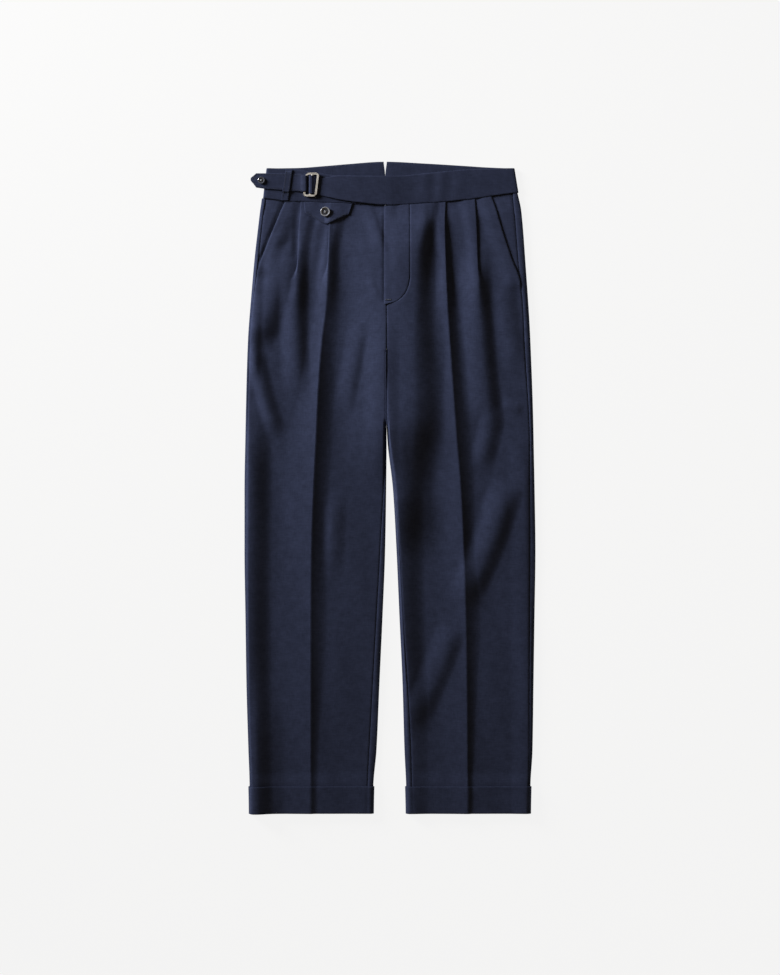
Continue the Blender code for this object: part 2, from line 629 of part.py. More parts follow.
def wall(name, rows, thickness, material, ring=False):
    """Closed wall round a grid of middle points, row by row.

    thickness is a number, or a function of a column's number. Each quad is cut along the
    same diagonal on both faces of the wall.
    """
    bm = bmesh.new()
    faces_up, faces_down = [], []
    for row in rows:
        upper, lower = [], []
        for k, (point, normal) in enumerate(zip(row, wall_normals(row, ring))):
            half = (thickness(k) if callable(thickness) else thickness) / 2
            x, up, z = point
            upper.append(bm.verts.new(to_metres(x + normal[0] * half, up, z + normal[1] * half)))
            lower.append(bm.verts.new(to_metres(x - normal[0] * half, up, z - normal[1] * half)))
        faces_up.append(upper)
        faces_down.append(lower)

    last_row = len(rows) - 1
    count = len(rows[0])
    spans = [(k, (k + 1) % count) for k in range(count if ring else count - 1)]

    def skin(grid, r, a, b, short):
        corners = (grid[r][a], grid[r][b], grid[r + 1][b], grid[r + 1][a])
        if short:
            bm.faces.new((corners[0], corners[1], corners[2]))
            bm.faces.new((corners[0], corners[2], corners[3]))
        else:
            bm.faces.new((corners[0], corners[1], corners[3]))
            bm.faces.new((corners[1], corners[2], corners[3]))

    for r in range(last_row):
        for a, b in spans:
            one = (Vector(rows[r][a]) - Vector(rows[r + 1][b])).length
            two = (Vector(rows[r][b]) - Vector(rows[r + 1][a])).length
            skin(faces_up, r, a, b, one <= two)
            skin(faces_down, r, a, b, one <= two)
    for r in (0, last_row):
        for a, b in spans:
            bm.faces.new((faces_up[r][a], faces_up[r][b], faces_down[r][b], faces_down[r][a]))
    if not ring:
        for r in range(last_row):
            for k in (0, count - 1):
                bm.faces.new((faces_up[r][k], faces_up[r + 1][k],
                              faces_down[r + 1][k], faces_down[r][k]))
    return add_object(name, bm, material)


def finish(name, colour, roughness, metallic=0.0):
    """Principled material."""
    material = bpy.data.materials.new(name)
    material.use_nodes = True
    shader = material.node_tree.nodes["Principled BSDF"]
    shader.inputs["Base Color"].default_value = colour
    shader.inputs["Roughness"].default_value = roughness
    shader.inputs["Metallic"].default_value = metallic
    material.diffuse_color = colour
    return material


def cloth_finish(name):
    return finish(name + "_suiting", CLOTH_COLOUR, 0.85)


def inner_edge(leg, row):
    """Where a front ends toward the middle on a row, as a distance from the middle."""
    if row < CROTCH_UP - 1.0:
        return leg.inseam_out(row) + GAP / 2
    if row < FLY_END_UP + 1.0:
        return MIDDLE * leg.side + GAP / 2
    if leg.side < 0:
        return -(FLY_EDGE + FLY_UNDER)
    return read(FLY_CURVE, "up", row, "x") + GAP / 2


def build_front(name, leg):
    rows = [front_row(leg, row, inner_edge(leg, row)) for row in LEG_ROWS + TOP_ROWS]
    return wall(name, rows, CLOTH, cloth_finish(name))


def build_back(name, leg):
    rows = [back_row(leg, row) for row in LEG_ROWS + TOP_ROWS]
    return wall(name, rows, CLOTH, cloth_finish(name))


def build_facing(name, leg):
    """The pocket facing: from the side seam to a little way under the pocket mouth."""
    end = leg.slant[-1].up
    levels = [end + 1.0] + [row for row in TOP_ROWS if row > end + 5.0]
    rows = []
    for row in levels:
        outer = leg.seam_out(row) - GAP
        mouth = read(leg.slant, "up", row, "out")
        under = POCKET_UNDER * min(1.0, 0.35 + (row - end) / 60.0)
        inner = min(mouth, outer - 1.0) - under
        points = []
        for k in range(5):
            out = lerp(outer, inner, k / 4.0)
            x = out * leg.side
            up = height_at(x, row)
            points.append((x, up, leg.top(x, up)))
        rows.append(points)
    return wall(name, rows, CLOTH, cloth_finish(name))


def build_fly(leg, other):
    """Fly placket, from its opening edge on the other front to the curve that ends it."""
    rows = []
    for row in [level for level in TOP_ROWS if level >= FLY_END_UP]:
        right = read(FLY_CURVE, "up", row, "x") - GAP / 2
        points = []
        for k in range(6):
            x = lerp(FLY_EDGE, right, k / 5.0)
            up = height_at(x, row)
            own = smooth((x - FLY_EDGE - FLY_UNDER - 2.0) / 14.0)
            points.append((x, up, lerp(other.top(x, up) + FLY_LIFT, leg.top(x, up), own)))
        rows.append(points)
    return wall("fly", rows, CLOTH, cloth_finish("fly"))


def build_band(name, side):
    """One half of the waistband, from the notch at the back round the side to the front."""
    middle = (BACK_BAND_Z + FRONT_BAND_Z) / 2
    half = (FRONT_BAND_Z - BACK_BAND_Z) / 2
    sides = BAND_SIDE_RIGHT if side < 0 else BAND_SIDE_LEFT
    rows = []
    for r in range(BAND_ROWS):
        v = r / (BAND_ROWS - 1.0)
        open_share = smooth((v - NOTCH_START) / (1.0 - NOTCH_START))
        notch = lerp(NOTCH_FOOT[side > 0], NOTCH_TOP[side > 0], open_share)
        turn = lerp(sides[0], sides[1], v) - side * (ROLL + BAND_CLOTH / 2)
        columns = []
        for k in range(BAND_BACK_COLUMNS):
            x = lerp(notch, turn, k / BAND_BACK_COLUMNS)
            columns.append(BandColumn(x, back_seam(x) + GAP, across(BACK_BAND_TOP, x),
                                      BACK_BAND_Z, BAND_CLOTH))
        spots = arc(turn, middle, side * ROLL, half, math.pi, 0.0, 5)
        if side < 0:
            spots += [(lerp(turn, RIGHT_BAND_END, (k + 1) / BAND_FRONT_COLUMNS), FRONT_BAND_Z)
                      for k in range(BAND_FRONT_COLUMNS)]
        else:
            spots += LEFT_BAND_FRONT
        for x, z in spots:
            columns.append(BandColumn(x, front_seam(x) + GAP, across(FRONT_BAND_TOP, x), z, BAND_CLOTH))
        if side > 0:
            columns += EXTENSION
        rows.append([(column.x, lerp(column.low, column.high, v), column.z) for column in columns])
    return wall(name, rows, lambda k: columns[k].wall, cloth_finish(name))


def build_strap():
    rows = []
    for r in range(4):
        v = r / 3.0
        rows.append([(c.x, lerp(c.low, c.high, v), c.z) for c in STRAP])
    return wall("strap", rows, TRIM_CLOTH, cloth_finish("strap"))


def build_loop():
    """Belt loop over the strap; its wall stands off a line that runs up the garment."""
    bm = bmesh.new()
    count = len(LOOP)
    rings = []
    for k, row in enumerate(LOOP):
        run = Vector((0.0, 0.0))
        for a, b in ((k - 1, k), (k, k + 1)):
            if a < 0 or b >= count:
                continue
            run += Vector((LOOP[b].up - LOOP[a].up, LOOP[b].z - LOOP[a].z)).normalized()
        run.normalize()
        normal = Vector((run.y, -run.x)) * LOOP_CLOTH / 2
        ring = []
        for sx, sn in ((-1, 1), (1, 1), (1, -1), (-1, -1)):
            ring.append(bm.verts.new(to_metres(row.x + sx * LOOP_WIDTH / 2,
                                               row.up + sn * normal.x, row.z + sn * normal.y)))
        rings.append(ring)
    for one, two in zip(rings, rings[1:]):
        for a in range(4):
            b = (a + 1) % 4
            bm.faces.new((one[a], one[b], two[b], two[a]))
    bm.faces.new(rings[0])
    bm.faces.new(rings[-1])
    bmesh.ops.triangulate(bm, faces=bm.faces)
    return add_object("strap_loop", bm, cloth_finish("strap_loop"))


def box(name, x_range, up_range, z_range):
    """Plain block between two corners, for a cut."""
    bm = bmesh.new()
    bmesh.ops.create_cube(bm, size=1.0)
    for vert in bm.verts:
        x = x_range[vert.co.x > 0]
        up = up_range[vert.co.y > 0]
        z = z_range[vert.co.z > 0]
        vert.co = to_metres(x, up, z)
    return add_object(name, bm, None, smooth_shade=False)


def cut(item, cutter):
    """Subtract the cutter from the item."""
    cutter.hide_render = True
    cutter.display_type = "WIRE"
    boolean = item.modifiers.new(cutter.name, "BOOLEAN")
    boolean.operation = "DIFFERENCE"
    boolean.object = cutter


def build_buckle():
    """Frame with rounded corners, a slim hidden bar for the strap and a centre bar."""
    bm = bmesh.new()
    half_wall = BUCKLE_WALL / 2
    outline = []
    for x, up, start in ((BUCKLE_RIGHT, BUCKLE_HIGH, 0), (BUCKLE_LEFT, BUCKLE_HIGH, 1),
                         (BUCKLE_LEFT, BUCKLE_LOW, 2), (BUCKLE_RIGHT, BUCKLE_LOW, 3)):
        middle_x = x - math.copysign(BUCKLE_CORNER, x - CENTRE_BAR[0])
        middle_up = up + (-BUCKLE_CORNER if up == BUCKLE_HIGH else BUCKLE_CORNER)
        for k in range(4):
            a = math.radians(90.0 * start + 30.0 * k)
            outline.append((middle_x + BUCKLE_CORNER * math.cos(a),
                            middle_up + BUCKLE_CORNER * math.sin(a)))
    verts = [bm.verts.new(to_metres(x, up, -half_wall)) for x, up in outline]
    face = bm.faces.new(verts)
    top = bmesh.ops.extrude_face_region(bm, geom=[face])
    lifted = [item for item in top["geom"] if isinstance(item, bmesh.types.BMVert)]
    bmesh.ops.translate(bm, verts=lifted, vec=(0.0, 0.0, BUCKLE_WALL * MM))
    metal = finish("buckle_metal", METAL_COLOUR, 0.3, 1.0)
    frame = add_object("buckle", bm, metal)

    inner = (BUCKLE_LOW + BUCKLE_BAR, BUCKLE_HIGH - BUCKLE_BAR)
    left_window = box("window_left", (PIN_RIGHT, CENTRE_BAR[0]), inner, BUCKLE_DEEP)
    right_window = box("window_right", (CENTRE_BAR[1], BUCKLE_RIGHT - BUCKLE_BAR), inner, BUCKLE_DEEP)
    slim_bars = box("slim_bars", (BUCKLE_LEFT - 1.0, CENTRE_BAR[1] + 0.5), inner,
                    (PIN_WALL - half_wall, BUCKLE_DEEP[1]))
    for cutter in (left_window, right_window, slim_bars):
        cut(frame, cutter)
        place_buckle(cutter)
    place_buckle(frame)
    return frame


def place_buckle(item):
    """Tilt a piece about the centre bar and set it at its height."""
    middle = to_metres((CENTRE_BAR[0] + CENTRE_BAR[1]) / 2, LENGTH / 2, 0.0)
    for vert in item.data.vertices:
        away = vert.co - middle
        vert.co.x = middle.x + away.x * math.cos(BUCKLE_TILT)
        vert.co.z = away.z + away.x * math.sin(BUCKLE_TILT) + BUCKLE_Z * MM


def surface(item):
    """Search tree of a piece's faces."""
    return BVHTree.FromPolygons([v.co.copy() for v in item.data.vertices],
                                [tuple(p.vertices) for p in item.data.polygons])


def highest_under(tree, x, up):
    """Height of a piece's surface at a place seen from above, or 0 beside the piece."""
    hit = tree.ray_cast(to_metres(x, up, ABOVE_ALL), Vector((0.0, 0.0, -1.0)))[0]
    return 0.0 if hit is None else hit.z / MM


def build_flap(panel):
    """Flap of the fob pocket, laid on the front panel's own surface."""
    tree = surface(panel)
    rows = []
    for r in range(FLAP_ROWS):
        v = r / (FLAP_ROWS - 1.0)
        row = []
        for point in FLAP:
            x = lerp(point.x_top, point.x_foot, v)
            up = across(WAIST_SEAM, point.x_top) - GAP - point.drop * v
            high = 0.0
            for dx in FLAP_FEEL_ACROSS:
                for dup in FLAP_FEEL_ALONG:
                    if up + dup < across(WAIST_SEAM, x + dx) - 1.0:
                        high = max(high, highest_under(tree, x + dx, up + dup))
            row.append((x, up, high + FLAP_CLEAR + TRIM_CLOTH / 2))
        rows.append(row)
    rows.reverse()
    return wall("fob_flap", rows, TRIM_CLOTH, cloth_finish("fob_flap"))


def build_button(button, carrier):
    """Round button with a raised rim, a dished face and four thread holes."""
    radius = button.diameter / 2
    rim = button.diameter * BUTTON_RIM
    dish = button.height * (1.0 - BUTTON_DISH)
    tree = surface(carrier)
    foot = radius * BUTTON_FOOT
    compass = [math.radians(45.0 * k) for k in range(8)]
    base = GAP + max(highest_under(tree, button.x + foot * math.cos(a), button.up + foot * math.sin(a))
                     for a in compass)
    profile = ((0.0, 0.0), (foot, 0.0), (radius, button.height * 0.4),
               (radius, button.height * 0.75), (radius - rim * 0.4, button.height),
               (radius - rim, button.height * 0.95), (radius - rim * 1.5, dish), (0.0, dish))
    bm = bmesh.new()
    verts = [bm.verts.new((r * MM, 0.0, z * MM)) for r, z in profile]
    edges = [bm.edges.new(pair) for pair in zip(verts, verts[1:])]
    bmesh.ops.spin(bm, geom=verts + edges, cent=(0.0, 0.0, 0.0), axis=(0.0, 0.0, 1.0),
                   angle=math.tau, steps=button.sides, use_merge=True)
    bmesh.ops.remove_doubles(bm, verts=bm.verts, dist=1e-6)
    bmesh.ops.dissolve_degenerate(bm, edges=bm.edges, dist=1e-6)
    bmesh.ops.translate(bm, verts=bm.verts, vec=to_metres(button.x, button.up, base))
    item = add_object(button.name, bm, finish(button.name + "_horn", HORN_COLOUR, 0.25))
    reach = button.diameter * BUTTON_HOLE_SPREAD
    for k, (sx, sy) in enumerate(((1, 1), (-1, 1), (-1, -1), (1, -1))):
        hole = bmesh.new()
        bmesh.ops.create_cone(hole, cap_ends=True, segments=6,
                              radius1=button.diameter * BUTTON_HOLE / 2 * MM,
                              radius2=button.diameter * BUTTON_HOLE / 2 * MM,
                              depth=button.height * 3.0 * MM)
        bmesh.ops.translate(hole, verts=hole.verts,
                            vec=to_metres(button.x + sx * reach, button.up + sy * reach, base))
        cut(item, add_object("%s_hole_%d" % (button.name, k), hole, None, smooth_shade=False))
    return item


def build_cuff(name, leg):
    """Turn-up: a closed band round the end of the leg."""
    off = CLOTH / 2 + GAP + CUFF_CLOTH / 2
    rows = []
    for row, spread in ((0.0, 0.0), (CUFF_MIDDLE, CUFF_SPREAD / 2), (CUFF_HEIGHT, CUFF_SPREAD)):
        front = front_row(leg, row, inner_edge(leg, row))
        back = back_row(leg, row)
        loop = front + back[::-1][1:-1]
        if leg.side > 0:
            loop = loop[::-1]
        rows.append([(x + normal[0] * (off + spread), row, z + normal[1] * off)
                     for (x, _, z), normal in zip(loop, wall_normals(loop, ring=True))])
    return wall(name, rows, CUFF_CLOTH, cloth_finish(name), ring=True)


def build():
    """Make every piece."""
    clear_scene()
    right = Leg(-1, RIGHT_LEG, RIGHT_FOLDS, RIGHT_PLEAT, RIGHT_SLANT)
    left = Leg(1, LEFT_LEG, LEFT_FOLDS, LEFT_PLEAT, LEFT_SLANT)
    for word, leg in (("right", right), ("left", left)):
        build_back("back_" + word, leg)
        build_facing("pocket_facing_" + word, leg)
        build_band("waistband_" + word, leg.side)
        build_cuff("cuff_" + word, leg)
    front = build_front("front_right", right)
    build_front("front_left", left)
    build_fly(left, right)
    strap = build_strap()
    build_loop()
    build_buckle()
    flap = build_flap(front)
    build_button(STRAP_BUTTON, strap)
    build_button(FOB_BUTTON, flap)


build()
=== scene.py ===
"""Pleated dress trousers in navy worsted, laid flat on their backs on a pale floor.

Shapes are worked out in millimetres and the meshes are made in metres. x runs across the
garment with the wearer's left at +x, "up" is the height above the hems along the garment,
and z is the height above the floor. The wearer's right leg is at the viewer's left.
"""
import logging
import math
from dataclasses import dataclass, field
from enum import Enum
from typing import NamedTuple, Sequence

import bpy
import numpy as np
from mathutils import Matrix, Vector
from mathutils.bvhtree import BVHTree


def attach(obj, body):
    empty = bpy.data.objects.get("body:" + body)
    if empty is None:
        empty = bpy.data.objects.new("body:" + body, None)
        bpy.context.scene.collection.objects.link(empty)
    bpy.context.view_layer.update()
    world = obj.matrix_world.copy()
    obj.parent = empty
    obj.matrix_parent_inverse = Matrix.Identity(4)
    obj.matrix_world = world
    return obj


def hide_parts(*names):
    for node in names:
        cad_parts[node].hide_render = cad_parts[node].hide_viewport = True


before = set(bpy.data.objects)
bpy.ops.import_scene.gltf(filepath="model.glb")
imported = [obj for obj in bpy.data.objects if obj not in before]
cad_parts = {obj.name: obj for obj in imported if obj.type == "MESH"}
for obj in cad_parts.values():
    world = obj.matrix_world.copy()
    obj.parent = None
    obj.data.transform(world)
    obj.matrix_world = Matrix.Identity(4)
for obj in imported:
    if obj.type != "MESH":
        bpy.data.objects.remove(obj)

log = logging.getLogger("trousers")
Colour = tuple[float, float, float]

MM = 0.001
LENGTH = 1075.0          # top of the back waistband to the hem
GAP = 0.3                # between layers that lie on each other
SEAM = 0.4               # groove of a seam on the upper side
CLOTH = 1.1              # one layer of suiting with its lining
TRIM = 1.6               # strap, flap and turn-up: two layers
BAND = 2.4               # waistband: two layers over canvas
CROTCH_UP = 765.0        # where the four panels meet
MIDDLE = -5.6            # where the two legs touch
SEAM_LEVEL = 1002.5      # rows of the panels are straight across below the blend
SEAM_BLEND = 150.0
ROLL = 1.6               # half width of the roll along an edge of a leg
TIGHT_ROLL = 0.75        # the same where the two legs touch
ROLL_POINTS = 9          # points round the roll at an edge
HAIR = 0.02              # keeps two sheets from sharing a place
TOUCH = 0.1              # levels that are this near count as one
UNDER_Z = CLOTH / 2
CUFF_HEIGHT = 45.0
FIRST_ROW = 1.5          # lowest row of the panels
ABOVE_ALL = 60.0         # higher than any piece
SOFT_EDGE = 0.6          # share of its thickness that a wall keeps along its ends
TINY = 1e-9              # least length that is divided by


class Side(Enum):
    """The wearer's side that a piece is on, with the sign of its x."""

    RIGHT = -1
    LEFT = 1

    @property
    def word(self) -> str:
        """Side's word in the names of pieces."""
        return self.name.lower()


class Seam(Enum):
    """Which of the two waist seams a row of cloth runs up to."""

    FRONT = "front"
    BACK = "back"


class Station(NamedTuple):
    """Sizes of a leg at one level; outer, crease and inner are distances from the middle."""

    up: float
    outer: float
    strip: float
    crease: float
    inner: float
    inseam: float
    rise: float
    left: float
    right: float


class Fold(NamedTuple):
    """Soft fold of a front: ends of its crest, bow, widths of its slopes, height and fades."""

    x: float
    up: float
    x_foot: float
    up_foot: float
    bow: float
    left: float
    right: float
    rise: float
    lead: float
    tail: float


class Wave(NamedTuple):
    """Long wave in pressed cloth: radians for each millimetre across and up, and its phase."""

    across: float
    along: float
    phase: float


class Spot(NamedTuple):
    """Place on a line that runs up the garment, as a distance from the middle."""

    up: float
    out: float


class Edge(NamedTuple):
    """Place on a line that runs across the garment."""

    x: float
    up: float


class TrimColumn(NamedTuple):
    """Column of a strap or band: its two edges, the height of its middle and its wall."""

    x: float
    low: float
    high: float
    z: float
    wall: float


RIGHT_LEG = (
    Station(0.0, 231.0, 3.4, 130.6, 28.0, 9.5, 3.2, 60.0, 11.0),
    Station(45.0, 231.4, 3.4, 130.6, 27.4, 9.5, 3.2, 60.0, 11.0),
    Station(104.0, 233.5, 3.4, 130.7, 22.3, 12.0, 3.8, 60.0, 13.0),
    Station(216.0, 236.8, 3.4, 130.7, 17.3, 11.0, 5.6, 60.0, 21.0),
    Station(322.0, 238.4, 3.4, 130.7, 12.4, 10.0, 6.6, 58.0, 27.0),
    Station(434.0, 240.0, 3.4, 129.9, 8.0, 8.3, 6.9, 56.0, 27.0),
    Station(533.0, 240.0, 3.4, 126.6, 6.3, 4.5, 7.2, 54.0, 27.0),
    Station(619.0, 238.6, 3.4, 122.5, 5.6, 2.8, 7.6, 48.0, 28.0),
    Station(705.0, 236.8, 3.4, 118.4, 5.6, 2.3, 7.2, 30.0, 28.0),
    Station(780.0, 234.3, 3.4, 112.5, 5.6, 2.3, 6.3, 26.0, 27.0),
    Station(837.0, 230.2, 3.8, 105.5, 5.6, 3.4, 4.8, 28.0, 25.0),
    Station(909.0, 223.6, 7.0, 101.5, 5.6, 3.4, 3.4, 34.0, 20.0),
    Station(975.0, 215.3, 6.5, 99.5, 5.6, 3.4, 2.0, 30.0, 16.0),
    Station(1012.0, 211.0, 6.4, 99.5, 5.6, 3.4, 1.5, 30.0, 20.0),
)
LEFT_LEG = (
    Station(0.0, 231.0, 3.6, 128.0, 27.4, 9.5, 3.4, 60.0, 9.0),
    Station(45.0, 231.6, 3.8, 128.0, 26.6, 9.5, 3.4, 60.0, 9.0),
    Station(104.0, 235.1, 5.3, 127.5, 23.9, 11.0, 4.0, 60.0, 12.0),
    Station(216.0, 236.8, 7.0, 126.6, 20.6, 8.3, 5.0, 56.0, 18.0),
    Station(322.0, 238.4, 8.0, 125.0, 15.7, 6.0, 5.8, 52.0, 25.0),
    Station(434.0, 240.0, 9.0, 121.4, 10.7, 5.0, 6.0, 50.0, 18.0),
    Station(533.0, 238.6, 8.0, 116.7, 5.0, 3.6, 6.4, 50.0, 23.0),
    Station(619.0, 236.9, 6.6, 109.8, -4.5, 2.6, 6.8, 54.0, 25.0),
    Station(645.0, 236.4, 6.8, 107.9, -5.6, 2.3, 7.0, 56.0, 26.0),
    Station(780.0, 231.6, 10.0, 98.4, -5.6, 2.3, 7.2, 54.0, 24.0),
    Station(837.0, 228.5, 9.5, 94.8, -5.6, 3.4, 5.6, 40.0, 19.0),
    Station(909.0, 223.0, 11.8, 91.6, -5.6, 3.4, 3.2, 26.0, 12.0),
    Station(975.0, 216.6, 11.9, 90.0, -5.6, 3.4, 1.8, 20.0, 10.0),
    Station(1012.0, 209.6, 7.5, 91.6, -5.6, 3.4, 0.8, 18.0, 10.0),
)

RIGHT_FOLDS = (
    Fold(-219.0, 940.0, -229.0, 675.0, 0.0, 9.0, 15.0, 2.8, 0.20, 0.30),     # outer edge, high
    Fold(-230.0, 710.0, -229.5, -30.0, -3.0, 9.0, 38.0, 8.0, 0.20, 0.02),    # outer edge, low
    Fold(-163.0, 965.0, -205.0, 930.0, 0.0, 16.0, 16.0, 1.1, 0.30, 0.30),    # pleat one to the side
    Fold(-172.0, 955.0, -228.0, 766.0, 8.0, 36.0, 33.0, 6.4, 0.34, 0.20),    # hip, slanting out
    Fold(-228.0, 790.0, -183.0, 614.0, -6.0, 16.0, 20.0, 4.6, 0.28, 0.22),   # thigh, slanting in
    Fold(-150.0, 965.0, -146.0, 655.0, -9.0, 28.0, 24.0, 5.6, 0.35, 0.35),   # under pleat one
    Fold(-151.5, 1003.0, -154.5, 905.0, 0.0, 10.0, 5.0, -1.6, 0.0, 0.30),    # beside pleat one
    Fold(-42.0, 835.0, -78.0, 640.0, 0.0, 24.0, 16.0, 2.4, 0.35, 0.35),      # thigh, slanting out
    Fold(-36.0, 1003.0, -5.0, 915.0, 0.0, 20.0, 10.0, 2.8, 0.0, 0.50),       # beside the fly
    Fold(-36.0, 885.0, -16.0, 838.0, 0.0, 10.0, 9.0, 0.9, 0.30, 0.40),       # short one by the fly
    Fold(-139.9, 990.3, -116.5, 976.3, 0.0, 8.0, 5.0, -3.4, 0.20, 0.20),     # hollow along the flap
    Fold(-93.0, 545.0, -97.0, 370.0, 0.0, 16.0, 24.0, 2.6, 0.35, 0.45),      # inside of the knee
    Fold(-219.0, 240.0, -214.0, -30.0, 0.0, 18.0, 44.0, 3.6, 0.45, 0.02),    # outer edge, hem
    Fold(-104.0, 990.0, -126.0, 850.0, 0.0, 13.0, 8.0, -1.3, 0.25, 0.30),    # hollow by pleat two
)
LEFT_FOLDS = (
    Fold(-3.0, 745.0, 5.0, 415.0, 0.0, 12.0, 92.0, 12.5, 0.60, 0.34),        # inside of the thigh
    Fold(74.0, 650.0, 66.0, 500.0, 0.0, 36.0, 22.0, -1.8, 0.35, 0.35),       # hollow beside it
    Fold(13.0, 580.0, 23.0, 110.0, -2.0, 12.0, 43.0, 7.6, 0.25, 0.25),       # inside of the knee
    Fold(28.0, 270.0, 32.0, -30.0, 0.0, 9.0, 34.0, 3.2, 0.40, 0.02),         # inside of the calf
    Fold(142.0, 945.0, 168.0, 622.0, -6.5, 40.0, 26.0, 6.2, 0.25, 0.20),     # under pleat one
    Fold(173.0, 676.0, 146.0, 556.0, 0.0, 22.0, 24.0, 3.4, 0.35, 0.40),      # its run-out
    Fold(183.0, 905.0, 216.0, 705.0, -4.0, 26.0, 24.0, 2.6, 0.30, 0.35),     # hip
    Fold(202.0, 560.0, 116.0, 335.0, 5.0, 36.0, 29.0, 5.6, 0.22, 0.26),      # knee, slanting in
    Fold(111.0, 322.0, 35.0, 136.0, 2.0, 30.0, 26.0, 3.9, 0.22, 0.30),       # calf, slanting in
    Fold(182.0, 678.0, 222.0, 664.0, 0.0, 14.0, 15.0, 1.5, 0.35, 0.35),      # nick at the thigh
    Fold(219.0, 640.0, 226.0, -30.0, 2.0, 28.0, 13.0, 1.7, 0.20, 0.02),      # outer edge
)
# Folds that cross the middle, so both fronts have them
CENTRE_FOLDS = (
    Fold(-22.0, 1003.0, -8.0, 765.0, 0.0, 70.0, 70.0, 2.4, 0.0, 0.35),       # under the fly
    Fold(50.0, 1003.0, 41.0, 838.0, 0.0, 60.0, 25.0, 3.2, 0.0, 0.60),        # from the waist seam
    Fold(69.0, 1006.0, 60.0, 945.0, 0.0, 26.0, 13.0, 2.8, 0.0, 0.60),        # where it is sharpest
    Fold(58.0, 1008.0, 46.0, 915.0, 0.0, 110.0, 26.0, 8.2, 0.0, 0.75),       # its head
    Fold(41.0, 985.0, 37.0, 700.0, 0.0, 120.0, 38.0, 8.4, 0.25, 0.55),       # down the hip
    Fold(37.0, 890.0, 37.0, 545.0, 0.0, 120.0, 55.0, 11.8, 0.45, 0.32),      # down the thigh
    Fold(-12.0, 850.0, -14.0, 510.0, 0.0, 34.0, 30.0, 3.4, 0.30, 0.40),      # inside of the thigh
)

CLOTH_WAVES = (Wave(0.041, 0.013, 0.4), Wave(-0.027, 0.019, 2.1), Wave(0.066, -0.009, 4.4),
               Wave(0.018, 0.031, 1.2), Wave(0.093, 0.022, 5.3))

RIGHT_PLEAT = (Spot(1012.0, 146.0), Spot(950.0, 149.8), Spot(900.0, 151.6),
               Spot(787.0, 156.0), Spot(700.0, 150.0), Spot(0.0, 168.0))
LEFT_PLEAT = (Spot(1012.0, 139.5), Spot(950.0, 142.5), Spot(900.0, 144.0),
              Spot(787.0, 149.5), Spot(640.0, 165.0), Spot(0.0, 168.0))
RIGHT_SLANT = (Spot(1045.0, 163.5), Spot(983.0, 184.5), Spot(955.0, 196.0),
               Spot(928.0, 206.5), Spot(896.0, 217.0))
LEFT_SLANT = (Spot(1050.0, 160.0), Spot(992.0, 176.5), Spot(958.0, 186.5),
              Spot(917.0, 200.0), Spot(874.0, 214.5))
FLY_CURVE = (Spot(838.0, -7.6), Spot(843.0, 9.0), Spot(849.0, 18.0), Spot(858.0, 25.5),
             Spot(870.0, 30.5), Spot(886.0, 33.0), Spot(1010.0, 32.5))

WAIST_SEAM = (Edge(-214.0, 1014.5), Edge(-170.0, 1010.0), Edge(-103.0, 1007.0),
              Edge(-62.0, 1005.5), Edge(-9.0, 1002.5), Edge(40.0, 1005.0), Edge(87.0, 1008.5),
              Edge(138.0, 1013.5), Edge(171.0, 1018.5), Edge(214.0, 1023.5))
FRONT_BAND_TOP = (Edge(-206.0, 1064.0), Edge(-163.0, 1062.5), Edge(-115.0, 1055.5),
                  Edge(-88.0, 1052.0), Edge(-29.0, 1051.0), Edge(17.0, 1051.5),
                  Edge(52.0, 1055.0), Edge(93.0, 1059.0), Edge(128.0, 1062.0),
                  Edge(207.0, 1064.0))
BACK_BAND_TOP = (Edge(-206.0, 1064.0), Edge(-156.0, 1064.5), Edge(-105.0, 1068.0),
                 Edge(-70.0, 1071.0), Edge(-8.0, 1075.0), Edge(57.0, 1072.0),
                 Edge(123.0, 1068.0), Edge(161.0, 1065.5), Edge(207.0, 1064.0))

EXTENSION = (
    TrimColumn(-2.0, 1002.9, 1051.2, 6.6, 2.4),
    TrimColumn(-20.0, 1003.8, 1051.0, 7.0, 2.4),
    TrimColumn(-60.0, 1008.0, 1051.3, 7.0, 2.4),
    TrimColumn(-88.0, 1012.6, 1051.6, 7.0, 2.2),
    TrimColumn(-104.0, 1016.4, 1048.6, 6.7, 1.8),
    TrimColumn(-114.0, 1019.0, 1047.5, 6.5, 1.4),
    TrimColumn(-123.4, 1021.2, 1051.0, 6.4, 1.4),
    TrimColumn(-125.2, 1021.2, 1051.6, 7.4, 1.4),
    TrimColumn(-126.8, 1021.2, 1051.6, 9.2, 1.4),
    TrimColumn(-128.6, 1021.2, 1051.6, 10.1, 1.4),
    TrimColumn(-131.2, 1021.2, 1051.6, 10.0, 1.4),
    TrimColumn(-132.6, 1021.2, 1051.6, 9.0, 1.4),
    TrimColumn(-133.2, 1021.2, 1051.6, 7.2, 1.4),
)
STRAP = (
    TrimColumn(-229.7, 1044.4, 1046.8, 5.4, 1.6),
    TrimColumn(-225.0, 1037.9, 1051.4, 5.7, 1.6),
    TrimColumn(-220.5, 1031.8, 1055.3, 6.0, 1.6),
    TrimColumn(-206.0, 1029.6, 1055.2, 6.5, 1.6),
    TrimColumn(-175.0, 1027.4, 1054.9, 6.5, 1.6),
    TrimColumn(-154.0, 1025.6, 1054.6, 6.6, 1.6),
    TrimColumn(-148.0, 1025.1, 1054.5, 7.2, 1.6),
    TrimColumn(-143.0, 1024.9, 1052.0, 8.8, 1.6),
    TrimColumn(-139.3, 1024.8, 1051.4, 9.4, 1.6),
    TrimColumn(-137.0, 1024.8, 1051.4, 8.6, 1.6),
    TrimColumn(-136.4, 1024.8, 1051.4, 7.4, 1.6),
)


def smooth(t: np.ndarray) -> np.ndarray:
    """Even step from 0 to 1."""
    t = np.clip(t, 0.0, 1.0)
    return t * t * (3.0 - 2.0 * t)


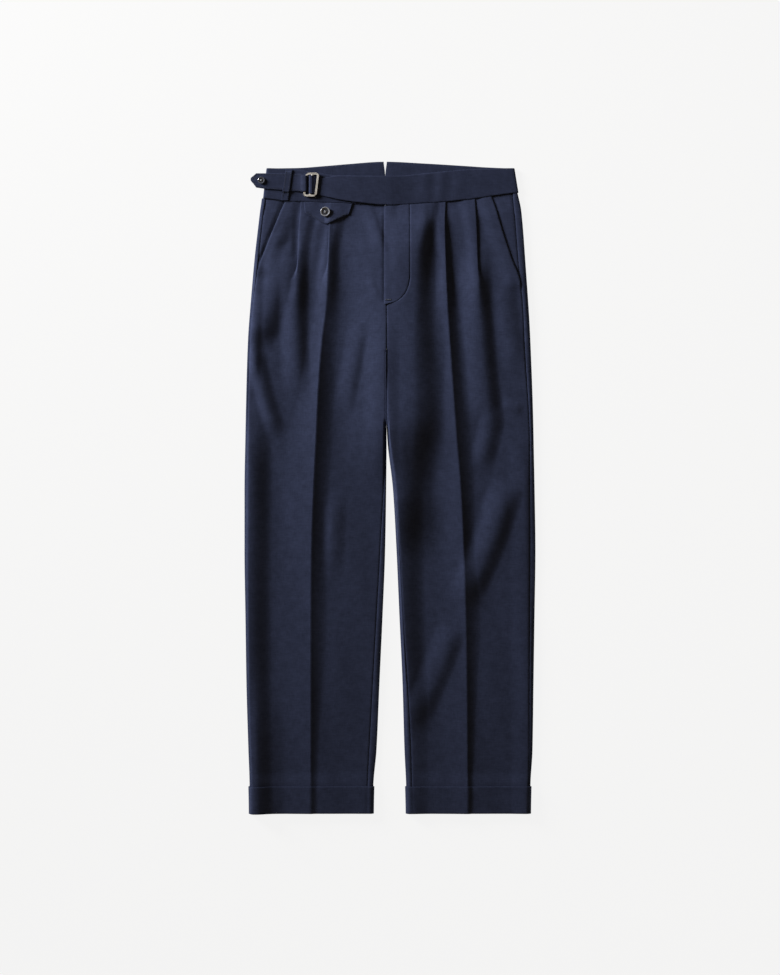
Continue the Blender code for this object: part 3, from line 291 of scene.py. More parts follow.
def blend(a: np.ndarray, b: np.ndarray, t: np.ndarray) -> np.ndarray:
    """Point a share t of the way from a to b."""
    return a + (b - a) * t


class Curve:
    """Even line through named places, which doesn't overshoot between them."""

    def __init__(self, keys: Sequence[float], values: Sequence[float]) -> None:
        """Keep the places in rising order and work out the slope at each.

        Args:
            keys: Where the places are.
            values: What the line is there.
        """
        order = np.argsort(keys)
        self.keys = np.asarray(keys, dtype=float)[order]
        self.values = np.asarray(values, dtype=float)[order]
        step = np.diff(self.values) / np.diff(self.keys)
        self.slopes = np.zeros(len(self.keys))
        for k in range(1, len(step)):
            before, after = step[k - 1], step[k]
            if before * after > 0.0:
                self.slopes[k] = 2.0 * before * after / (before + after)

    def __call__(self, at: np.ndarray) -> np.ndarray:
        """Read the line.

        Args:
            at: Where to read it; beyond its ends it is level.

        Returns:
            What the line is there.
        """
        at = np.clip(np.asarray(at, dtype=float), self.keys[0], self.keys[-1])
        i = np.clip(np.searchsorted(self.keys, at, side="right") - 1, 0, len(self.keys) - 2)
        step = self.keys[i + 1] - self.keys[i]
        t = (at - self.keys[i]) / step
        t2, t3 = t * t, t * t * t
        return ((2 * t3 - 3 * t2 + 1) * self.values[i] + (t3 - 2 * t2 + t) * self.slopes[i] * step
                + (3 * t2 - 2 * t3) * self.values[i + 1] + (t3 - t2) * self.slopes[i + 1] * step)


def line_up(spots: Sequence[Spot]) -> Curve:
    """Line that runs up the garment."""
    return Curve([s.up for s in spots], [s.out for s in spots])


def line_across(edges: Sequence[Edge]) -> Curve:
    """Line that runs across the garment."""
    return Curve([e.x for e in edges], [e.up for e in edges])


SEAM_LINE = line_across(WAIST_SEAM)
FRONT_TOP_LINE = line_across(FRONT_BAND_TOP)
BACK_TOP_LINE = line_across(BACK_BAND_TOP)
FLY_LINE = line_up(FLY_CURVE)
BACK_SEAM_SIDE = 205.0   # out to here the back seam is straight


def seam_up(x: np.ndarray, seam: Seam) -> np.ndarray:
    """Height above the hem of a waist seam.

    Args:
        x: Places across the garment.
        seam: Front seam, or the straighter one of the underside.

    Returns:
        The seam's height there.
    """
    front = SEAM_LINE(x)
    if seam is Seam.FRONT:
        return front
    side = np.copysign(BACK_SEAM_SIDE, x - MIDDLE)
    straight = blend(SEAM_LEVEL, SEAM_LINE(side), (x - MIDDLE) / (side - MIDDLE))
    return np.where(np.abs(x) >= BACK_SEAM_SIDE, front, straight)


def height_at(x: np.ndarray, row: float, seam: Seam) -> np.ndarray:
    """Where a row of a panel lies at x; near the waist it takes its seam's curve."""
    share = smooth((row - (SEAM_LEVEL - SEAM_BLEND)) / SEAM_BLEND)
    return row + (seam_up(x, seam) - SEAM_LEVEL) * share


def row_of(x: float, up: float) -> float:
    """Row of a front that passes through a place."""
    row = up
    for _ in range(12):
        row -= float(height_at(np.array(x), row, Seam.FRONT)) - up
    return row


def fold_height(fold: Fold, x: np.ndarray, up: np.ndarray) -> np.ndarray:
    """Height that a soft fold adds.

    Args:
        fold: The fold.
        x: Places across the garment.
        up: Heights above the hem.

    Returns:
        Height at each place, below 0 in a trough.
    """
    run = np.array([fold.x_foot - fold.x, fold.up_foot - fold.up])
    length = float(np.hypot(*run))
    run = run / length
    s = ((x - fold.x) * run[0] + (up - fold.up) * run[1]) / length
    inside = s <= 1.0
    if fold.lead > 0.0:
        inside = inside & (s >= 0.0)
    s = np.maximum(s, 0.0)
    off = (x - fold.x) * -run[1] + (up - fold.up) * run[0] - fold.bow * 4.0 * s * (1.0 - s)
    t = off / np.where(off < 0.0, fold.left, fold.right)
    ends = smooth((1.0 - s) / fold.tail)
    if fold.lead > 0.0:
        ends = ends * smooth(s / fold.lead)
    bump = np.where(np.abs(t) < 1.0, (1.0 - t * t) ** 2, 0.0)
    return np.where(inside, fold.rise * ends * bump, 0.0)


@dataclass
class Leg:
    """One leg and the half of the hips above it, as heights over the floor.

    Each size that ends in _run is the distance over which something fades in or out.
    """

    side: Side
    stations: tuple[Station, ...]
    folds: tuple[Fold, ...]
    pleat: tuple[Spot, ...]
    slant: tuple[Spot, ...]
    top_z: float = 3.5
    lowest_z: float = 2.3
    swell: float = 1.2
    shoulder: float = 5.0
    inner_shoulder: float = 5.5
    crotch_shoulder: float = 3.0
    crotch_run: float = 200.0
    pressed: float = 150.0
    joined_share: float = 0.25
    crease_sharpness: float = 1.6
    soft_floor: float = 0.6
    waist_relief: float = 0.35
    relief_run: float = 70.0
    waist_sink: float = 2.2
    waist_run: float = 34.0
    cuff_lift: float = 1.9
    hem_start: float = 2.0
    hem_run: float = 24.0
    pocket_rise: float = 1.7
    pocket_tuck: float = 2.0
    pocket_fade: float = 14.0
    pocket_under: float = 10.0
    pocket_ease: float = 1.0
    pocket_settle: float = 22.0
    ripple: float = 0.22
    sizes: dict[str, Curve] = field(init=False)
    pleat_line: Curve = field(init=False)
    mouth: Curve = field(init=False)

    def __post_init__(self) -> None:
        """Make the leg's lines from its tables."""
        keys = [s.up for s in self.stations]
        self.sizes = {name: Curve(keys, [getattr(s, name) for s in self.stations])
                      for name in Station._fields[1:]}
        self.pleat_line = line_up(self.pleat)
        self.mouth = line_up([Spot(row_of(s.out * self.sign, s.up), s.out) for s in self.slant])

    @property
    def sign(self) -> int:
        """Sign of the leg's x."""
        return self.side.value

    @property
    def slant_end(self) -> float:
        """Height of the lower end of the pocket mouth."""
        return self.slant[-1].up

    def seam_out(self, up: np.ndarray) -> np.ndarray:
        """Side seam, as a distance from the middle."""
        return self.sizes["outer"](up) - self.sizes["strip"](up)

    def front_edge(self, up: np.ndarray) -> np.ndarray:
        """Outer edge of the front: the pocket mouth, and below it the side seam."""
        seam = self.seam_out(up) - SEAM / 2
        return np.where(up <= self.slant_end, seam, np.minimum(self.mouth(up), seam))

    def inseam_out(self, up: np.ndarray) -> np.ndarray:
        """Inner edge of the front below the crotch."""
        return self.sizes["inner"](up) + self.sizes["inseam"](up)

    def window(self, out: np.ndarray, up: np.ndarray) -> np.ndarray:
        """0 at the rolled edges of the leg and 1 inside them."""
        outer = smooth((self.sizes["outer"](up) - out) / self.shoulder)
        shoulder = blend(self.crotch_shoulder, self.inner_shoulder,
                         smooth((CROTCH_UP - up) / self.crotch_run))
        inner = smooth((out - self.sizes["inner"](up)) / shoulder)
        joined = smooth((up - CROTCH_UP + self.pressed) / (self.pressed * self.joined_share))
        return outer * np.maximum(inner, joined)

    def cloth_ripple(self, x: np.ndarray, up: np.ndarray) -> np.ndarray:
        """Faint unevenness of pressed cloth: a few long waves that never line up."""
        total = sum(np.sin(x * wave.across + up * wave.along + wave.phase + self.sign)
                    for wave in CLOTH_WAVES)
        return self.ripple * total

    def relief(self, x: np.ndarray, up: np.ndarray) -> np.ndarray:
        """Height of the crease, the soft folds and the cloth's unevenness."""
        toward = x - self.sizes["crease"](up) * self.sign
        width = np.where(toward < 0.0, self.sizes["left"](up), self.sizes["right"](up))
        flank = np.maximum(0.0, 1.0 - np.abs(toward) / width)
        total = self.sizes["rise"](up) * flank ** self.crease_sharpness
        for fold in self.folds + CENTRE_FOLDS:
            total = total + fold_height(fold, x, up)
        total = total + self.cloth_ripple(x, up)
        near_waist = blend(self.waist_relief, 1.0, smooth((SEAM_LEVEL - up) / self.relief_run))
        return (total * near_waist + self.swell) * self.window(x * self.sign, up)

    def top(self, x: np.ndarray, up: np.ndarray) -> np.ndarray:
        """Middle of the front's cloth, without the layers of its pleats."""
        from_seam = SEAM_LINE(x) - up
        sink = self.waist_sink * (1.0 - smooth(from_seam / self.waist_run))
        z = self.top_z + self.relief(x, up) - sink
        z = 0.5 * (z + self.lowest_z + np.hypot(z - self.lowest_z, self.soft_floor))
        return z + self.hem_lift(up)

    def hem_lift(self, up: np.ndarray) -> np.ndarray:
        """The hem lies on the turn-up's under layer."""
        return self.cuff_lift * (1.0 - smooth((up - CUFF_HEIGHT - self.hem_start) / self.hem_run))

    def pocket_lift(self, out: np.ndarray, up: np.ndarray) -> np.ndarray:
        """The mouth of the pocket lies on its facing."""
        fade = smooth((up - self.slant_end + self.pocket_fade) / self.pocket_fade)
        inside = self.mouth(up) - out - self.pocket_under - self.pocket_ease
        return self.pocket_rise * fade * (1.0 - smooth(inside / self.pocket_settle))


@dataclass(frozen=True)
class Pleat:
    """A reverse pleat: a flat fold at the waist that opens into a ramp lower down."""

    depth: float = 11.0
    rise: float = 2.5
    pressed: float = 0.58
    pressed_run: float = 42.0
    shut_up: float = 1000.0
    even_up: float = 928.0
    open_up: float = 878.0
    gone_up: float = 800.0
    ramp_start: float = 12.0
    ramp_end: float = 26.0
    settle: float = 18.0
    settle_start: float = 1.5
    straight: float = 0.2
    least_turn: float = 1.0 / 3.0
    shut_angle: float = 3.14
    turn_steps: int = 10

    def rise_at(self, up: float) -> float:
        """Height of the top layer above the panel."""
        pressed = blend(self.pressed, 1.0, smooth((SEAM_LEVEL - up) / self.pressed_run))
        return float(self.rise * pressed
                     * smooth((up - self.gone_up) / (self.open_up - self.gone_up)))

    def state(self, up: float) -> float:
        """2 where the pleat is full, 1 where its under layer ends, 0 where it has opened."""
        if up >= self.even_up:
            return 1.0 + min(1.0, (up - self.even_up) / (self.shut_up - self.even_up))
        return max(0.0, (up - self.open_up) / (self.even_up - self.open_up))

    def turn(self, angle: float, overlap: float, rise: float) -> np.ndarray:
        """Middle line of the pleat from its under layer to its fold edge.

        Args:
            angle: How far the line turns up and back, half a circle in a shut pleat.
            overlap: How far the under layer runs.
            rise: Height of the top layer.

        Returns:
            Rows of distance outward from the fold edge and height above the under layer.
        """
        straight = self.straight * rise + overlap
        drop = 0.0 if angle > self.shut_angle else self.straight * rise * math.sin(angle)
        radius = (rise - drop) / (2.0 * (1.0 - math.cos(angle)))
        b = np.linspace(0.0, angle, self.turn_steps)
        upper = np.stack([radius * np.sin(b), rise - radius + radius * np.cos(b)], axis=1)
        end = upper[-1] + (straight * math.cos(angle), -drop)
        centre = end + (radius * math.sin(angle), radius * math.cos(angle))
        back = b[::-1]
        lower = np.stack([centre[0] - radius * np.sin(back),
                          centre[1] - radius * np.cos(back)], axis=1)
        return np.concatenate([upper, lower])[::-1]

    def line(self, up: float) -> np.ndarray:
        """Middle line of the pleat at one level, under layer first."""
        state, rise = self.state(up), self.rise_at(up)
        if state >= 1.0:
            return self.turn(math.pi, (state - 1.0) * self.depth, rise)
        if state >= self.least_turn:
            return self.turn(math.pi * state, 0.0, rise)
        opened = smooth((up - self.gone_up) / (self.open_up - self.gone_up))
        width = float(blend(self.ramp_end, self.ramp_start, opened))
        t = np.linspace(0.0, 1.0, 2 * self.turn_steps)
        ramp = np.stack([width * (1.0 - t), rise * smooth(t)], axis=1)
        least = self.turn(math.pi * self.least_turn, 0.0, self.rise)
        return blend(ramp, least, state / self.least_turn)

    def settled(self, out: np.ndarray, foot: float, fold_edge: float, rise: float) -> np.ndarray:
        """Height of the top layer as it comes down to the panel again."""
        start = min(foot, fold_edge) - self.settle_start
        return rise * (1.0 - smooth((start - out) / self.settle))


def arc(centre: tuple[float, float], half: tuple[float, float], start: float, end: float,
        count: int) -> np.ndarray:
    """Points of an elliptical arc, with angles from the upright.

    Args:
        centre: Its centre.
        half: Its half width and half height.
        start: First angle.
        end: Last angle.
        count: Number of points.

    Returns:
        Rows of distance and height.
    """
    a = np.linspace(start, end, count)
    return np.stack([centre[0] + half[0] * np.sin(a), centre[1] + half[1] * np.cos(a)], axis=1)


def to_metres(points: np.ndarray) -> np.ndarray:
    """Turn rows of x, up and z in millimetres into places in the frame."""
    moved = np.array(points, dtype=float)
    moved[..., 1] -= LENGTH / 2
    return moved * MM


def spot(x: float, up: float, z: float) -> Vector:
    """Place in the frame of one point given in millimetres."""
    return Vector(to_metres(np.array([x, up, z])))


def deselect() -> None:
    """Leave edit mode and take everything out of the selection."""
    if bpy.context.object and bpy.context.object.mode == "EDIT":
        bpy.ops.object.mode_set(mode="OBJECT")
    bpy.ops.object.select_all(action="DESELECT")


def pick(piece: bpy.types.Object, *others: bpy.types.Object) -> None:
    """Select a piece and make it the active one, with others beside it in the selection."""
    deselect()
    for chosen in (*others, piece):
        chosen.select_set(True)
    bpy.context.view_layer.objects.active = piece


def edit_whole() -> None:
    """Open the active piece in edit mode with all of its mesh selected."""
    bpy.ops.object.mode_set(mode="EDIT")
    bpy.ops.mesh.select_all(action="SELECT")


def link_piece(name: str, mesh: bpy.types.Mesh) -> bpy.types.Object:
    """Put a mesh into the scene as a piece."""
    piece = bpy.data.objects.new(name, mesh)
    bpy.context.scene.collection.objects.link(piece)
    return piece


def along(steps: np.ndarray) -> np.ndarray:
    """Distance from the start at each point of a line, from the lengths of its steps."""
    return np.concatenate([[0.0], np.cumsum(steps)])


class ClothWall:
    """Closed wall of cloth that stands half its thickness to each side of a middle grid."""

    sharp_angle: float = math.radians(55.0)

    def __init__(self, rows: np.ndarray, wall: float | np.ndarray, ring: bool = False) -> None:
        """Work out both faces of the wall, which gets thinner along its ends.

        Args:
            rows: Middle points, row by row, as x, up and z in millimetres.
            wall: Thickness, one number or one for each column.
            ring: Whether each row closes on itself.
        """
        self.rows = np.asarray(rows, dtype=float)
        self.ring = ring
        half = np.broadcast_to(np.asarray(wall, dtype=float) / 2, self.rows.shape[:2]).copy()
        for end in (0, -1):
            half[end] *= SOFT_EDGE
            if not ring:
                half[:, end] *= SOFT_EDGE
        normal = self.normals()
        shift = np.stack([normal[..., 0] * half, np.zeros_like(half), normal[..., 1] * half],
                         axis=2)
        self.upper = self.rows + shift
        self.lower = self.rows - shift

    def normals(self) -> np.ndarray:
        """Unit normals of the middle lines in the plane across the garment."""
        flat = self.rows[..., (0, 2)]
        if self.ring:
            run = np.roll(flat, -1, axis=1) - flat
            before = np.roll(run, 1, axis=1)
        else:
            run = np.diff(flat, axis=1)
            before = np.concatenate([run[:, :1], run], axis=1)
            run = np.concatenate([run, run[:, -1:]], axis=1)
        total = np.zeros_like(flat)
        for part in (before, run):
            size = np.linalg.norm(part, axis=2, keepdims=True)
            total += part / np.maximum(size, TINY)
        total /= np.maximum(np.linalg.norm(total, axis=2, keepdims=True), TINY)
        return np.stack([-total[..., 1], total[..., 0]], axis=2)

    def build(self, name: str, material: bpy.types.Material) -> bpy.types.Object:
        """Make the wall's mesh, with a UV map that runs along the cloth's threads.

        Args:
            name: Name of the piece.
            material: Its finish.

        Returns:
            The piece.
        """
        count_rows, count = self.rows.shape[:2]
        spans = count if self.ring else count - 1
        r, c = np.meshgrid(np.arange(count_rows - 1), np.arange(spans), indexing="ij")
        r, c = r.ravel(), c.ravel()
        steps = np.linalg.norm(np.diff(self.rows, axis=1, append=self.rows[:, :1]), axis=2)
        across = np.concatenate([np.zeros((count_rows, 1)), np.cumsum(steps, axis=1)], axis=1)
        middle = across[:, -1:] / 2 if self.ring else across[:, -2:-1] / 2
        across = across - middle
        faces, maps = [], []

        def add(corners: Sequence[tuple[int, np.ndarray, np.ndarray]]) -> None:
            """Add faces whose corners are (face of the wall, row, column)."""
            index = [layer * count_rows * count + row * count + col % count
                     for layer, row, col in corners]
            faces.append(np.stack(index, axis=1))
            threads = [np.stack([across[row, col], self.rows[row, col % count, 1]], axis=1)
                       for _, row, col in corners]
            maps.append(np.stack(threads, axis=1))

        add([(0, r, c), (0, r, c + 1), (0, r + 1, c + 1), (0, r + 1, c)])
        add([(1, r, c), (1, r + 1, c), (1, r + 1, c + 1), (1, r, c + 1)])
        c = np.arange(spans)
        r = np.zeros_like(c)
        add([(0, r, c + 1), (0, r, c), (1, r, c), (1, r, c + 1)])
        r = r + count_rows - 1
        add([(0, r, c), (0, r, c + 1), (1, r, c + 1), (1, r, c)])
        if not self.ring:
            r = np.arange(count_rows - 1)
            c = np.zeros_like(r)
            add([(0, r, c), (0, r + 1, c), (1, r + 1, c), (1, r, c)])
            c = c + count - 1
            add([(0, r + 1, c), (0, r, c), (1, r, c), (1, r + 1, c)])
        faces = np.concatenate(faces)
        maps = np.concatenate(maps)
        places = to_metres(np.concatenate([self.upper.reshape(-1, 3), self.lower.reshape(-1, 3)]))
        first, second, third, fourth = (places[faces[:, k]] for k in range(4))
        volume = (np.einsum("ij,ij->i", first, np.cross(second, third))
                  + np.einsum("ij,ij->i", first, np.cross(third, fourth))).sum()
        if volume < 0.0:
            faces, maps = faces[:, ::-1], maps[:, ::-1]
        mesh = bpy.data.meshes.new(name)
        mesh.from_pydata(places.tolist(), [], faces.tolist())
        layer = mesh.uv_layers.new(name="Threads")
        layer.data.foreach_set("uv", (maps.reshape(-1) * MM).astype(np.float32))
        mesh.shade_smooth()
        mesh.set_sharp_from_angle(angle=self.sharp_angle)
        mesh.materials.append(material)
        return link_piece(name, mesh)


DOWN = Vector((0.0, 0.0, -1.0))


class Feeler:
    """Finds the height of a piece's upper surface at a place."""

    def __init__(self, pieces: Sequence[bpy.types.Object]) -> None:
        """Keep a search tree of each piece."""
        self.trees = []
        for piece in pieces:
            mesh = piece.data
            self.trees.append(BVHTree.FromPolygons([v.co.copy() for v in mesh.vertices],
                                                   [tuple(p.vertices) for p in mesh.polygons]))

    def height(self, x: float, up: float) -> float:
        """Height of the highest surface at a place, or 0 beside the pieces."""
        best = 0.0
        for tree in self.trees:
            hit = tree.ray_cast(spot(x, up, ABOVE_ALL), DOWN)[0]
            if hit is not None:
                best = max(best, hit.z / MM)
        return best


class NodeKit:
    """Short hand for a material's shader nodes."""

    def __init__(self, name: str) -> None:
        """Start a material with its Principled shader."""
        self.material = bpy.data.materials.new(name)
        self.material.use_nodes = True
        self.tree = self.material.node_tree
        self.shader = self.tree.nodes["Principled BSDF"]

    def add(self, kind: str, **values: object) -> bpy.types.Node:
        """Add a node and set its values.

        Args:
            kind: The node's type.
            values: Properties of the node, or inputs by their name with spaces as "_".

        Returns:
            The node.
        """
        node = self.tree.nodes.new(kind)
        for key, value in values.items():
            if hasattr(node, key):
                setattr(node, key, value)
            else:
                node.inputs[key.replace("_", " ")].default_value = value
        return node

    def link(self, output: bpy.types.NodeSocket, target: bpy.types.NodeSocket) -> None:
        """Join two sockets."""
        self.tree.links.new(output, target)

    def set(self, **values: object) -> None:
        """Set constants on the shader's own sockets."""
        for key, value in values.items():
            self.shader.inputs[key.replace("_", " ")].default_value = value

    def place(self) -> bpy.types.NodeSocket:
        """Place in the piece's own space."""
        return self.add("ShaderNodeTexCoord").outputs["Object"]

    def mapped(self, place: bpy.types.NodeSocket, **values: object) -> bpy.types.NodeSocket:
        """Place that is scaled, turned or shifted by the given values."""
        node = self.add("ShaderNodeMapping", **values)
        self.link(place, node.inputs["Vector"])
        return node.outputs["Vector"]

    def texture(self, kind: str, place: bpy.types.NodeSocket,
                **values: object) -> bpy.types.NodeSocket:
        """Strength of a texture at a place.

        Args:
            kind: "Noise" or "Wave".
            place: Where to read it.
            values: Its properties and inputs.

        Returns:
            The strength's socket.
        """
        node = self.add("ShaderNodeTex" + kind, **values)
        self.link(place, node.inputs["Vector"])
        return node.outputs["Fac"]

    def mix(self, share: float, first: bpy.types.NodeSocket,
            second: bpy.types.NodeSocket) -> bpy.types.NodeSocket:
        """Number that is a share of the way from the first to the second."""
        node = self.add("ShaderNodeMix", data_type="FLOAT")
        node.inputs[0].default_value = share
        self.link(first, node.inputs[2])
        self.link(second, node.inputs[3])
        return node.outputs[0]

    def two_tone(self, strength: bpy.types.NodeSocket, tones: Sequence[Colour],
                 stops: tuple[float, float] = (0.0, 1.0)) -> None:
        """Give the shader a colour between two tones.

        Args:
            strength: What chooses between them.
            tones: Both colours.
            stops: Strengths at which the first ends and the second is reached.
        """
        node = self.add("ShaderNodeValToRGB")
        for element, stop, tone in zip(node.color_ramp.elements, stops, tones):
            element.position = stop
            element.color = (*tone, 1.0)
        self.link(strength, node.inputs["Fac"])
        self.link(node.outputs["Color"], self.shader.inputs["Base Color"])


@dataclass(frozen=True)
class Worsted:
    """Fine worsted suiting with a soft matt face and a barely seen twill."""

    name: str
    colour: Colour = (0.0182, 0.0234, 0.0500)
    lighter: Colour = (0.0348, 0.0444, 0.0930)
    stops: tuple[float, float] = (0.34, 0.66)
    roughness: float = 0.82
    sheen: float = 0.05
    sheen_tint: Colour = (0.55, 0.62, 0.85)
    shine: float = 0.08
    twill_scale: float = 300.0
    twill_turn: float = math.radians(62.0)
    warp_stretch: tuple[float, float, float] = (1.0, 0.16, 1.0)
    weft_stretch: tuple[float, float, float] = (0.2, 1.0, 1.0)
    weft_share: float = 0.5
    cloud_share: float = 0.40
    weave_depth: float = 0.00004

    def make(self) -> bpy.types.Material:
        """Make the finish on the piece's thread map."""
        kit = NodeKit(self.name)
        place = kit.add("ShaderNodeUVMap", uv_map="Threads").outputs["UV"]
        turned = kit.mapped(place, Rotation=(0.0, 0.0, self.twill_turn))
        twill = kit.texture("Wave", turned, wave_type="BANDS", bands_direction="X",
                            Scale=self.twill_scale, Distortion=1.2, Detail=1.0)
        warp = kit.texture("Noise", kit.mapped(place, Scale=self.warp_stretch),
                           Scale=520.0, Detail=3.0, Roughness=0.7)
        weft = kit.texture("Noise", kit.mapped(place, Scale=self.weft_stretch),
                           Scale=430.0, Detail=2.0, Roughness=0.6)
        cloud = kit.texture("Noise", place, Scale=60.0, Detail=5.0, Roughness=0.65)
        threads = kit.mix(self.weft_share, warp, weft)
        kit.two_tone(kit.mix(self.cloud_share, threads, cloud), (self.colour, self.lighter),
                     self.stops)

        grain = kit.add("ShaderNodeMath", operation="MULTIPLY")
        kit.link(twill, grain.inputs[0])
        kit.link(threads, grain.inputs[1])
        bump = kit.add("ShaderNodeBump", Strength=0.5, Distance=self.weave_depth)
        kit.link(grain.outputs[0], bump.inputs["Height"])
        kit.link(bump.outputs["Normal"], kit.shader.inputs["Normal"])
        kit.set(Roughness=self.roughness, Sheen_Weight=self.sheen, Sheen_Roughness=0.5,
                Sheen_Tint=(*self.sheen_tint, 1.0), Specular_IOR_Level=self.shine)
        return kit.material


@dataclass(frozen=True)
class Thread:
    """Twisted sewing thread, in the cloth's own navy unless told otherwise."""

    name: str = "sewing_thread"
    colour: Colour = (0.012, 0.015, 0.028)
    lighter: Colour = (0.035, 0.042, 0.068)

    def make(self) -> bpy.types.Material:
        """Make the finish."""
        kit = NodeKit(self.name)
        twist = kit.texture("Noise", kit.place(), Scale=2200.0, Detail=2.0)
        kit.two_tone(twist, (self.colour, self.lighter))
        kit.set(Roughness=0.6, Specular_IOR_Level=0.35)
        return kit.material


@dataclass(frozen=True)
class Horn:
    """Dark polished horn; its paler rim is a painted reflection."""

    name: str
    centre: tuple[float, float]
    radius: float
    dark: Colour = (0.030, 0.034, 0.046)
    # pale and stops: colour of the painted reflection on the rim, and the radii over which it comes
    # in
    pale: Colour = (0.22, 0.23, 0.26)
    stops: tuple[float, float] = (0.72, 1.05)
    vein_depth: float = 0.28

    def make(self) -> bpy.types.Material:
        """Make the finish round the button's centre."""
        kit = NodeKit(self.name)
        place = kit.place()
        centred = kit.mapped(place, vector_type="TEXTURE", Location=(*self.centre, 0.0))
        flat = kit.add("ShaderNodeVectorMath", operation="MULTIPLY")
        flat.inputs[1].default_value = (1.0 / self.radius, 1.0 / self.radius, 0.0)
        kit.link(centred, flat.inputs[0])
        reach = kit.add("ShaderNodeVectorMath", operation="LENGTH")
        kit.link(flat.outputs["Vector"], reach.inputs[0])
        vein = kit.texture("Noise", place, Scale=420.0, Detail=5.0, Distortion=1.5)
        wave = kit.add("ShaderNodeMath", operation="MULTIPLY_ADD")
        wave.inputs[1].default_value = self.vein_depth
        kit.link(vein, wave.inputs[0])
        kit.link(reach.outputs["Value"], wave.inputs[2])
        # The colour turns pale toward the rim: a painted reflection
        kit.two_tone(wave.outputs[0], (self.dark, self.pale), self.stops)
        kit.set(Roughness=0.22, Specular_IOR_Level=0.6, Coat_Weight=0.5, Coat_Roughness=0.12)
        return kit.material


@dataclass(frozen=True)
class BuckleMetal:
    """Pale nickel with a soft polish and faint wear."""

    name: str = "buckle_nickel"
    colour: Colour = (0.80, 0.78, 0.74)
    worn: Colour = (0.66, 0.63, 0.59)
    stops: tuple[float, float] = (0.35, 0.6)
    metallic: float = 0.45
    smoothest: float = 0.24
    roughest: float = 0.42
    brush_stretch: tuple[float, float, float] = (1.0, 0.08, 1.0)

    def make(self) -> bpy.types.Material:
        """Make the finish."""
        kit = NodeKit(self.name)
        place = kit.place()
        brush = kit.texture("Noise", kit.mapped(place, Scale=self.brush_stretch),
                            Scale=2600.0, Detail=2.0)
        wear = kit.texture("Noise", place, Scale=160.0, Detail=4.0)
        kit.two_tone(wear, (self.worn, self.colour), self.stops)
        polish = kit.add("ShaderNodeMapRange", To_Min=self.smoothest, To_Max=self.roughest)
        kit.link(brush, polish.inputs["Value"])
        kit.link(polish.outputs["Result"], kit.shader.inputs["Roughness"])
        kit.set(Metallic=self.metallic)
        return kit.material


@dataclass(frozen=True)
class FloorPaper:
    """Plain pale floor with a faint grain, bright enough to swallow soft shadows."""

    name: str = "pale_floor"
    colour: Colour = (0.065, 0.065, 0.065)
    darker: float = 0.985
    glow: float = 0.875

    def make(self) -> bpy.types.Material:
        """Make the finish."""
        kit = NodeKit(self.name)
        grain = kit.texture("Noise", kit.place(), Scale=60.0, Detail=3.0)
        kit.two_tone(grain, (tuple(v * self.darker for v in self.colour), self.colour))
        kit.set(Roughness=0.9, Specular_IOR_Level=0.1, Emission_Color=(1.0, 1.0, 1.0, 1.0),
                Emission_Strength=self.glow)
        return kit.material


def declare(piece: bpy.types.Object, node: str) -> bpy.types.Object:
    """Put a piece on the root body, hide the solid that it replaces and log its faces.

    Args:
        piece: The piece.
        node: Solid that it replaces, or "" where there is none.

    Returns:
        The same piece.
    """
    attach(piece, "root")
    if node:
        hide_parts(node)
    log.info("%s: %d faces", piece.name, len(piece.data.polygons))
    return piece


def cloth_piece(wall: ClothWall, name: str, cloth: bpy.types.Material, node: str,
                rests_on: str) -> bpy.types.Object:
    """Args:
        wall: The wall.
        name: Name of the piece.
        cloth: Its finish.
        node: Solid that it replaces.
        rests_on: Name of what it lies on; not used.

    Returns:
        The piece.
    """
    return declare(wall.build(name, cloth), node)


